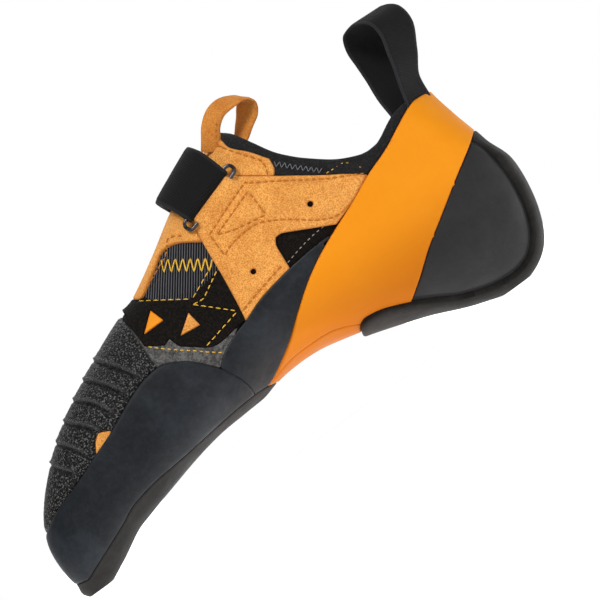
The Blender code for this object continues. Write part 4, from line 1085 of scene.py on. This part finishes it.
def patch_height(points, distance):
    """The patch, thinner toward its tail, with ribs across the toes: each is a rounded line over a
    groove, and the rubber steps down ahead of it."""
    x, y, z = points.T
    thin = 0.0007 * smoothstep((x - TAIL_START) / 0.0010) * np.clip(distance / 0.0011, 0.0, 1.0)
    ahead, strength = rib_profile(points, distance)
    rib = 0.00045 * bell(ahead - 0.0001, 0.0006) - 0.00055 * bell(ahead + 0.0012, 0.0006)
    rib += np.where(ahead > 0.0, 0.00035 * np.exp(-ahead / 0.0035), 0.0)
    rough = np.sin(x * 5200.0 + 3.0 * np.sin(z * 2100.0))
    rough *= 0.0001 * np.sin(z * 4700.0 + 2.0 * np.sin(x * 1900.0 + y * 1500.0))
    return (GAP + PATCH * (0.35 + 0.65 * dome(distance / 0.0022)) - thin + strength * rib
            + rough * smoothstep(distance / 0.0015))


def make_patch():
    def marks(points, distance):
        ahead, strength = rib_profile(points, distance)
        return {
            # tail marks where the patch is painted grey, a painted reflection on its glossy rubber.
            "tail": smoothstep((points[:, 0] - TAIL_START) / 0.0012),
            # rib and groove mark where the patch is painted with a highlight on each rib and shade in its
            # groove.
            "rib": strength * bell(ahead - 0.0002, 0.0006),
            "groove": strength * bell(ahead + 0.0012, 0.0007),
        }
    layer("toe_patch_rubber", "patch", ("toe_patch",),
          within(EDGES["toe_patch"], not_in=(EDGES["notch"],)), patch_height, attributes=marks,
          cells=fine_mesh("toe_patch"))
    layer("toe_window_suede", "suede", (), within(EDGES["notch"]),
          rounded(GAP, 0.0006, 0.0006), levels=(0.0003, 0.0006), cells=fine_mesh("notch"))


def make_panel():
    layer("side_panel_microfibre", "microfibre", ("side_panel",), panel_field,
          rounded(GAP, MICROFIBRE, 0.0007, 0.4, panel_relief), levels=(0.0002, 0.0005, 0.001),
          cells=fine_mesh("side_panel"))
    for name, material in (("inlay_rear", "orange_rubber"), ("inlay_front", "suede")):
        layer(f"{name}_triangle", material, (name,), within(EDGES[name], side_of=-1),
              rounded(GAP, INLAY, 0.0006, 0.5), levels=(0.0002, 0.0005), cells=fine_mesh(name, -1))


def panel_relief(points, distance):
    """Seams, and the front corner over the toes standing a little proud."""
    back = points[:, 0] - PANEL_FRONT
    corner = np.where(back > 0.0, np.exp(-back / 0.0035), 0.0) * smoothstep((points[:, 2] - 0.076) / 0.008)
    return sewn(PANEL_SEAMS)(points, distance) + 0.0018 * corner


def panel_field(points):
    flat = points[:, [0, 2]]
    value = inside_distance(flat, EDGES["side_panel"])
    for name in ("inlay_rear", "inlay_front"):
        hole = -inside_distance(flat, EDGES[name]) - 0.0001
        value = np.where(points[:, 1] < 0.0, np.minimum(value, hole), value)
    return value


def make_suede():
    layer("throat_frame_suede", "suede", ("throat_frame",),
          within(EDGES["frame"], not_in=(EDGES["collar"],)),
          rounded(GAP, SUEDE, 0.0012, extra=sewn(FRAME_SEAMS)), cells=fine_mesh("frame"))
    holes = [(*side(x, z), radius * MM) for x, z, radius in PINHOLES]
    layer("strap_anchor_suede", "suede", ("strap_anchor", "ring_tab"),
          within(EDGES["anchor"], side_of=-1, holes=holes),
          rounded(GAP, FOLDED_SUEDE, 0.0012, extra=anchor_relief), cells=fine_mesh("anchor", -1))
    layer("outer_quarter_suede", "suede", ("outer_quarter",),
          within(EDGES["anchor"], side_of=1, holes=holes),
          rounded(GAP, SUEDE, 0.0012, extra=sewn(ANCHOR_SEAMS)),
          cells=fine_mesh("anchor", 1, cell=OUTER_QUARTER_CELL))


FOLD_LINE = side_points(FOLD_SEAM)


def fold_rise(points):
    """How far the anchor swells where it is folded over the ring."""
    span, along = line_distance(points[:, [0, 2]], FOLD_LINE)
    return FOLD_HEIGHT * ends(along, 12.0) * smoothstep(1.0 - (span - 0.0036) / 0.0046)


def anchor_relief(points, distance):
    return fold_rise(points) * dome(distance / 0.0020) + sewn(ANCHOR_SEAMS)(points, distance)


def make_gore():
    """The elastic, with ribs that run up along the instep."""
    def wave(points):
        return np.cos(points[:, [0, 2]] @ ACROSS_RIBS * 2.0 * math.pi / ELASTIC_PITCH)
    layer("elastic_gore_ribbed", "elastic", ("elastic_gore",),
          within(EDGES["window"], side_of=-1), lambda points, distance: -0.0002 + 0.00022 * wave(points),
          # rib follows the height of the ribs, for the painted highlight on their crests and painted shade
          # between them.
          level(-0.0010), (), lambda points, distance: {"rib": 0.5 + 0.5 * wave(points)},
          fine_mesh("window", -1))


def make_cuff():
    """The padded cuff, rolled over the collar's edge to the inside."""
    def lip(points):
        return dome(-inside_distance(points[:, [0, 2]], EDGES["collar"]) / 0.0022)

    def top(points, distance):
        puff = CUFF_RISE + 0.0006 * smoothstep(distance / 0.005)
        edge = 0.7 + 0.3 * np.clip(distance / 0.0006, 0.0, 1.0)
        tab = 0.0006 * smoothstep(inside_distance(points[:, [0, 2]], CUFF_TAB) / 0.0006)
        return puff * lip(points) * edge + tab - 0.0003
    layer("collar_cuff_knit", "cuff", ("collar_cuff",),
          within(EDGES["cuff"], not_in=(EDGES["collar"],)), top,
          lambda points, distance: -0.0003 - 0.0019 * lip(points), (0.0002, 0.0006, 0.0012, 0.0022),
          cells=fine_mesh("cuff"))


def strap_sheet(count_across=18, count_along=260):
    """Points and normals of the last under the strap, from the ring over the instep to its end."""
    front, back = side_points(STRAP_FRONT), side_points(STRAP_BACK)
    angles = np.linspace(0.42 * math.pi, 1.62 * math.pi, count_along)
    positions = np.linspace(7.0, 17.0, 900)
    points = last(*np.meshgrid(positions, angles))
    rows = np.arange(count_along)
    sheet, normals = [], []
    for w in np.linspace(0.0, 1.0, count_across):
        line = front + (back - front) * w
        ahead = points[..., 0] - np.interp(points[..., 2], line[:, 1], line[:, 0])
        index = np.argmax(ahead > 0.0, axis=1)
        before, after = ahead[rows, index - 1], ahead[rows, index]
        where = positions[index - 1] + (positions[index] - positions[index - 1]) * before / (before - after)
        strip, normal = last(where, angles), last_normal(where, angles)
        start_z = (FOLD_LINE[0] + (FOLD_LINE[1] - FOLD_LINE[0]) * w)[1] + 0.0009
        crest = int(np.argmax(strip[:, 2]))
        start = np.interp(start_z, strip[:crest + 1, 2], rows[:crest + 1])
        end = np.interp(-line[0][1], -strip[crest:, 2], rows[crest:])
        marks = np.linspace(start, end, 400)
        even = even_marks(travelled(pick(marks, rows, strip)), marks, 160)
        sheet.append(pick(even, rows, strip))
        normals.append(pick(even, rows, normal))
    return np.array(sheet), unit(np.array(normals)), np.interp(even, rows, angles)


def tube_faces(rings, count, closed=False):
    """Faces between the rings of a tube; closed joins its ends, which otherwise get caps."""
    faces = []
    for j in range(rings if closed else rings - 1):
        here, ahead = j * count, (j + 1) % rings * count
        for i in range(count):
            k = (i + 1) % count
            faces.append((here + i, here + k, ahead + k, ahead + i))
    if not closed:
        faces.append(tuple(range(count))[::-1])
        faces.append(tuple((rings - 1) * count + i for i in range(count)))
    return faces


def solid(name, material, nodes, points, faces, attributes=None, smooth_angle=80.0):
    """A closed piece off the last, with its faces turned outward."""
    made = new_object(name, points, faces, material, attributes or {}, smooth_angle)
    mesh = made.data
    mesh.calc_loop_triangles()
    corners = np.array([[mesh.vertices[i].co for i in t.vertices] for t in mesh.loop_triangles])
    if (corners[:, 0] * np.cross(corners[:, 1], corners[:, 2])).sum() < 0.0:
        mesh.flip_normals()
    finish_piece(made, nodes)


def ribbon(name, material, slot, node, centre, normal, weave, thickness):
    """A flat closed ribbon from its middle sheet: centre and normal are (across, along, 3)."""
    across, along = centre.shape[:2]
    sideways = unit(np.gradient(centre, axis=0))
    half, edge_half = thickness / 2.0, thickness / 2.0 * 0.62
    columns, coordinates = [], []
    for face, order in ((1.0, range(across)), (-1.0, range(across - 1, -1, -1))):
        for i in order:
            columns.append(centre[i] + face * normal[i] * (edge_half if i in (0, across - 1) else half))
            coordinates.append(weave[i])
        edge = order[-1]
        for turn in (0.25 * math.pi, 0.5 * math.pi, 0.75 * math.pi):
            outward = normal[edge] * math.cos(turn) + sideways[edge] * math.sin(turn)
            columns.append(centre[edge] + face * outward * edge_half)
            coordinates.append(weave[edge])
    points = np.array(columns).transpose(1, 0, 2).reshape(-1, 3)
    marks = np.array(coordinates).transpose(1, 0, 2).reshape(-1, 2)
    solid(name, material, (node,), points, tube_faces(along, len(columns)),
          {"weave_mm": np.column_stack((marks / MM, np.zeros(len(marks))))}, 60.0)


def make_strap():
    """Webbing from the outer side over the instep, folded round the ring and laid back on itself."""
    sheet, normals, angle = strap_sheet()
    across, along = sheet.shape[:2]
    crest = smoothstep(1.25 - np.abs(angle - math.pi) / math.radians(40.0))
    open_up = np.exp(-np.array([travelled(line) for line in sheet]) / 0.006)
    low = STRAP_REST + STRAP_ARCH * crest + STRAP_PLY / 2.0 + 0.0002 - 0.0004 * open_up
    high = low + STRAP_PLY + 0.0004 + 0.0016 * open_up
    inner, outer = (sheet + normals * height[..., None] for height in (low, high))
    down = unit(sheet[:, 0] - sheet[:, 1])
    middle = (inner[:, 0] + outer[:, 0]) / 2.0
    radius = np.linalg.norm(outer[:, 0] - inner[:, 0], axis=1)[:, None, None] / 2.0
    turns = np.linspace(math.pi, 0.0, 12)[1:-1]
    fold_normal = np.stack([normals[:, 0] * math.cos(t) + down * math.sin(t) for t in turns], axis=1)
    laid_back = int(along * 0.86)
    fold = middle[:, None] + fold_normal * radius
    centre = np.concatenate((inner[:, ::-1], fold, outer[:, :laid_back]), axis=1)
    normal = np.concatenate((-normals[:, ::-1], fold_normal, normals[:, :laid_back]), axis=1)
    length = np.array([travelled(line) for line in centre])
    width = np.broadcast_to(np.linspace(0.0, STRAP_WIDTH, across)[:, None], length.shape)
    ribbon("strap_webbing", "webbing", "webbing_black", "strap", centre, normal,
           np.stack((length, width), axis=-1), STRAP_PLY)
    return middle


def make_ring(line):
    """The ring: round wire bent to a long oval that shows past both edges of the strap."""
    low, high = (np.array(corner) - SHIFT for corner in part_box("strap_ring"))
    along = unit(line[-1] - line[0])
    x, _, z = (low + high) / 2.0
    outward = np.array(SIDE_TREE.ray_cast(Vector((x, -0.3, z)), Vector((0.0, 1.0, 0.0)))[1])
    if outward[1] > 0.0:
        outward = -outward
    outward = unit(outward - along * (outward @ along))
    across = np.cross(along, outward)
    if across[2] < 0.0:
        across = -across
    half_height, half_width = RING_HEIGHT / 2.0 - RING_WIRE, RING_WIDTH / 2.0 - RING_WIRE
    upper = line.mean(axis=0)
    lower = upper - across * 2.0 * half_height - outward * 0.0014
    centre = (upper + lower) / 2.0
    across = unit(upper - lower)
    outward = np.cross(across, along)
    radius = half_height * 0.92
    path = []
    for corner, (right, up) in enumerate(((1, 1), (-1, 1), (-1, -1), (1, -1))):
        for turn in (math.pi * (corner / 2.0 + k / 12.0) for k in range(7)):
            path.append((right * (half_width - radius) + radius * math.cos(turn),
                         up * (half_height - radius) + radius * math.sin(turn)))
    path, points, count = np.array(path), [], 14
    for i, place in enumerate(path):
        run = unit(path[(i + 1) % len(path)] - path[i - 1])
        for turn in np.linspace(0.0, 2.0 * math.pi, count, endpoint=False):
            flat = place + np.array((run[1], -run[0])) * RING_WIRE * math.cos(turn)
            points.append(centre + along * flat[0] + across * flat[1] + outward * RING_WIRE * math.sin(turn))
    solid("strap_ring_wire", "metal", ("strap_ring",), points,
          tube_faces(len(path), count, closed=True))


def loop_sheet(rows, rise, foot, width, count_across, taper):
    """A pull loop's middle sheet, its normals and its woven coordinates."""
    path = np.array([(LENGTH * r[0] / 100.0, HEEL_WIDTH * r[1] / 100.0, foot + rise * r[2]) for r in rows])
    across = np.array([r[3:] for r in rows])
    steps = np.linspace(0.0, len(rows) - 1.0, 9 * (len(rows) - 1) + 1)
    index = np.minimum(steps.astype(int), len(rows) - 2)
    smooth, sides = (curve_through(table, index, (steps - index)[:, None]) for table in (path, across))
    tangents = unit(np.gradient(smooth, axis=0))
    sides = unit(sides - tangents * (sides * tangents).sum(axis=1, keepdims=True))
    spread = np.linspace(-0.5, 0.5, count_across) * width
    shares = np.interp(steps / steps[-1], np.linspace(0.0, 1.0, len(taper)), taper)
    centre = smooth + sides * spread[:, None, None] * shares[:, None]
    normal = np.broadcast_to(np.cross(tangents, sides), centre.shape)
    weave = np.stack(np.broadcast_arrays(travelled(smooth), (spread + width / 2.0)[:, None]), axis=-1)
    return centre, normal, weave


def make_loops():
    """Both pull loops; returns the line and the facing of the throat loop's stitches."""
    foot = float(side(*COLLAR[-2])[1])
    sheet = loop_sheet(HEEL_LOOP, HEEL_LOOP_RISE, foot, HEEL_LOOP_WIDTH, 14, HEEL_LOOP_TAPER)
    ribbon("heel_loop_webbing", "loop_webbing", "webbing_black", "heel_loop", *sheet, HEEL_LOOP_PLY)
    foot = float(side(*FRAME_REAR[5])[1])
    sheet = loop_sheet(THROAT_LOOP, THROAT_LOOP_RISE, foot, THROAT_LOOP_WIDTH, 12, THROAT_LOOP_TAPER)
    ribbon("throat_loop_suede", "suede", "suede_orange", "throat_loop", *sheet, THROAT_LOOP_PLY)
    centre, normal, _ = sheet
    near = slice(5, 30)
    out = np.where(normal[2, near, 1:2] > 0.0, -1.0, 1.0) * normal[2, near]
    return centre[2, near] + out * THROAT_LOOP_PLY / 2.0, out


class Threads:
    """Stitches gathered into one mesh for each colour of thread."""

    def __init__(self):
        self.points, self.faces = [], []

    def tube(self, path, normals, radius, sides=6):
        run = unit(np.gradient(path, axis=0))
        across = unit(np.cross(run, normals))
        up = np.cross(across, run)
        size = np.full(len(path), radius)
        size[[0, -1]] *= 0.45
        turns = np.linspace(0.0, 2.0 * math.pi, sides, endpoint=False)[:, None]
        rings = across[:, None] * np.cos(turns) + up[:, None] * np.sin(turns) * 0.8
        start = len(self.points)
        self.points.extend((path[:, None] + rings * size[:, None, None]).reshape(-1, 3))
        self.faces.extend(tuple(start + i for i in face) for face in tube_faces(len(path), sides))

    def stitches(self, line, which, height, length=2.1, gap=0.9, radius=0.28, sink=0.12, over=None):
        """Dashes along a line of the side view, arched a little over the surface."""
        step = 0.0002
        marks = even_steps(line, step)
        rows = np.arange(len(marks))
        total = rows[-1] * step
        count = max(1, int(total / ((length + gap) * MM)))
        period = total / count
        half = period * length / (length + gap) / 2.0
        arch = np.array((-0.9, 0.25, 0.5, 0.25, -0.9)) * radius * MM - sink * MM
        for k in range(count):
            middle = (k + 0.5) * period
            at = np.linspace(middle - half, middle + half, 5) / total * rows[-1]
            placed = surface(pick(at, rows, marks), which, 0.0)
            if placed is None:
                continue
            points, normals = placed
            if over is not None:
                points = points + normals * over(points)[:, None]
            self.tube(points + normals * (height + arch)[:, None], normals, radius * MM)

    def dashes(self, path, normals, length=2.0, gap=0.8, radius=0.30):
        """Stitches along a path on a strap or loop."""
        lengths = travelled(path)
        period = (length + gap) * MM
        arch = np.array((-0.6, 0.2, 0.4, 0.2, -0.6)) * radius * MM
        for k in range(int(lengths[-1] / period)):
            at = k * period + np.linspace(0.0, length * MM, 5)
            place, out = pick(at, lengths, path), pick(at, lengths, normals)
            self.tube(place + out * arch[:, None], out, radius * MM)

    def zigzag(self, line, which, height, reach, period, radius):
        """A zigzag stitch as one thread: reach to each side and period in mm."""
        step = 0.0001
        marks = even_steps(line, step)
        rows = np.arange(len(marks))
        turns = max(2, int(rows[-1] * step / (period * MM)))
        share = np.linspace(0.0, 1.0, turns * 12 + 1)
        flat = pick(share * rows[-1], rows, marks)
        run = unit(np.gradient(flat, axis=0))
        saw = 2.0 * np.abs(2.0 * ((share * turns) % 1.0) - 1.0) - 1.0
        swing = np.sign(saw) * (1.0 - (1.0 - np.abs(saw)) ** 1.25)
        flat = flat + np.column_stack((-run[:, 1], run[:, 0])) * (swing * reach * MM)[:, None]
        placed = surface(flat, which, height)
        if placed is not None:
            points, normals = placed
            sunk = radius * MM * (0.6 - 1.2 * np.abs(swing) ** 6)
            self.tube(points + normals * sunk[:, None], normals, radius * MM)


def surface(flat, which, height):
    """Points and normals of the last at places of the side view, on one side of the shoe."""
    points, normals = [], []
    for x, z in flat:
        point, normal, *_ = SIDE_TREE.ray_cast(Vector((x, 0.3 * which, z)), Vector((0.0, -which, 0.0)))
        if point is None:
            return None
        points.append(point)
        normals.append(-normal if normal.y * which < 0.0 else normal)
    points, normals = np.array(points), np.array(normals)
    return points + normals * (relief(points) + height)[:, None], normals


def make_threads(loop_line, loop_out):
    yellow, orange, pale, grey = (Threads() for _ in range(4))
    orange.dashes(loop_line, loop_out)
    suede_top = GAP + SUEDE
    for which in (-1, 1):
        for line in PANEL_SEAMS[:-1]:
            yellow.stitches(line, which, GAP + MICROFIBRE, 1.9, 0.9, 0.25)
        yellow.stitches(PANEL_SEAMS[-1], which, suede_top, 1.7, 0.8, 0.25)
        for line in FRAME_SEAMS:
            orange.stitches(line, which, suede_top, *SUEDE_STITCH)
        for line in ANCHOR_SEAMS[:1] + ANCHOR_SEAMS[4:]:
            orange.stitches(line, which, suede_top, *SUEDE_STITCH, fold_rise if which < 0 else None)
        for line in GAP_SEAMS:
            pale.stitches(line, which, 0.0001, 1.6, 0.9, 0.20)
        for line in CUFF_SEAMS[:2]:
            yellow.stitches(line, which, GAP + 0.0019, 1.2, 1.0, 0.18)
        grey.zigzag(CUFF_SEAMS[2], which, GAP + 0.0018, 1.0, 2.1, 0.17)
    for line in ANCHOR_SEAMS[1:4]:
        orange.stitches(line, -1, suede_top, *SUEDE_STITCH, fold_rise)
    yellow.zigzag(seam((102.2, 97.0), (120.6, 84.2)), -1, 0.0003, 2.7, 2.85, 0.33)
    for name, threads, slot in (
        ("yellow", yellow, "suede_orange"), ("orange", orange, "suede_orange"),
        ("pale", pale, "lining_black"), ("grey", grey, "lining_black"),
    ):
        solid(f"stitching_{name}", f"thread_{name}", (), threads.points, threads.faces)


def studio_sheet(name, corners, paint):
    mesh = bpy.data.meshes.new(name)
    mesh.from_pydata(corners, [], [(0, 1, 2, 3)])
    mesh.materials.append(paint.material)
    link(bpy.data.objects.new(name, mesh))


def make_floor_and_light():
    white = (1.0, 1.0, 1.0, 1.0)
    paint = Shader("floor_white", 0.95, (0.9, 0.9, 0.9), Specular_IOR_Level=0.0, Emission_Color=white)
    depth = paint.node("ShaderNodeSeparateXYZ", {0: paint.place}).outputs[1]
    paint.join("Emission Strength", paint.ramp(depth, -0.16, -0.03, 0.15, 0.92))
    studio_sheet("studio_floor", [(-9, -9, 0), (9, -9, 0), (9, 9, 0), (-9, 9, 0)], paint)
    glow = Shader("backdrop_white", 1.0, (0.0, 0.0, 0.0), Emission_Strength=1.0, Specular_IOR_Level=0.0,
                  Emission_Color=white)
    studio_sheet("studio_backdrop", [(-3, 2.6, -1), (3, 2.6, -1), (3, 2.6, 3), (-3, 2.6, 3)], glow)
    world = bpy.data.worlds.new("studio_world")
    world.use_nodes = True
    background = world.node_tree.nodes["Background"]
    background.inputs["Color"].default_value = white
    background.inputs["Strength"].default_value = 0.24
    bpy.context.scene.world = world
    bpy.context.scene.view_settings.view_transform = "Standard"
    target = Vector((0.0, 0.0, 0.05))
    for name, place, size, power in LIGHTS:
        light = bpy.data.lights.new(name, "AREA")
        light.size = size
        light.energy = power
        lamp = link(bpy.data.objects.new(name, light))
        lamp.location = place
        lamp.rotation_euler = (target - Vector(place)).to_track_quat("-Z", "Y").to_euler()


def make_camera():
    low = math.radians(CAMERA_LOW)
    back = Vector((0.0, -math.cos(low), -math.sin(low)))
    data = bpy.data.cameras.new("camera")
    data.sensor_width = 36.0
    data.lens = data.sensor_width * CAMERA_DISTANCE / VIEW_WIDTH
    data.clip_start, data.clip_end = 0.01, 50.0
    camera = link(bpy.data.objects.new("camera", data))
    camera.location = Vector(CAMERA_AIM) + back * CAMERA_DISTANCE
    roll = Matrix.Rotation(math.radians(CAMERA_ROLL), 3, "Z")
    camera.rotation_euler = ((-back).to_track_quat("-Z", "Y").to_matrix() @ roll).to_euler()
    bpy.context.scene.camera = camera


make_camera()
make_floor_and_light()
make_upper()
make_insole()
make_rubber()
make_patch()
make_panel()
make_suede()
make_gore()
make_cuff()
make_ring(make_strap())
make_threads(*make_loops())
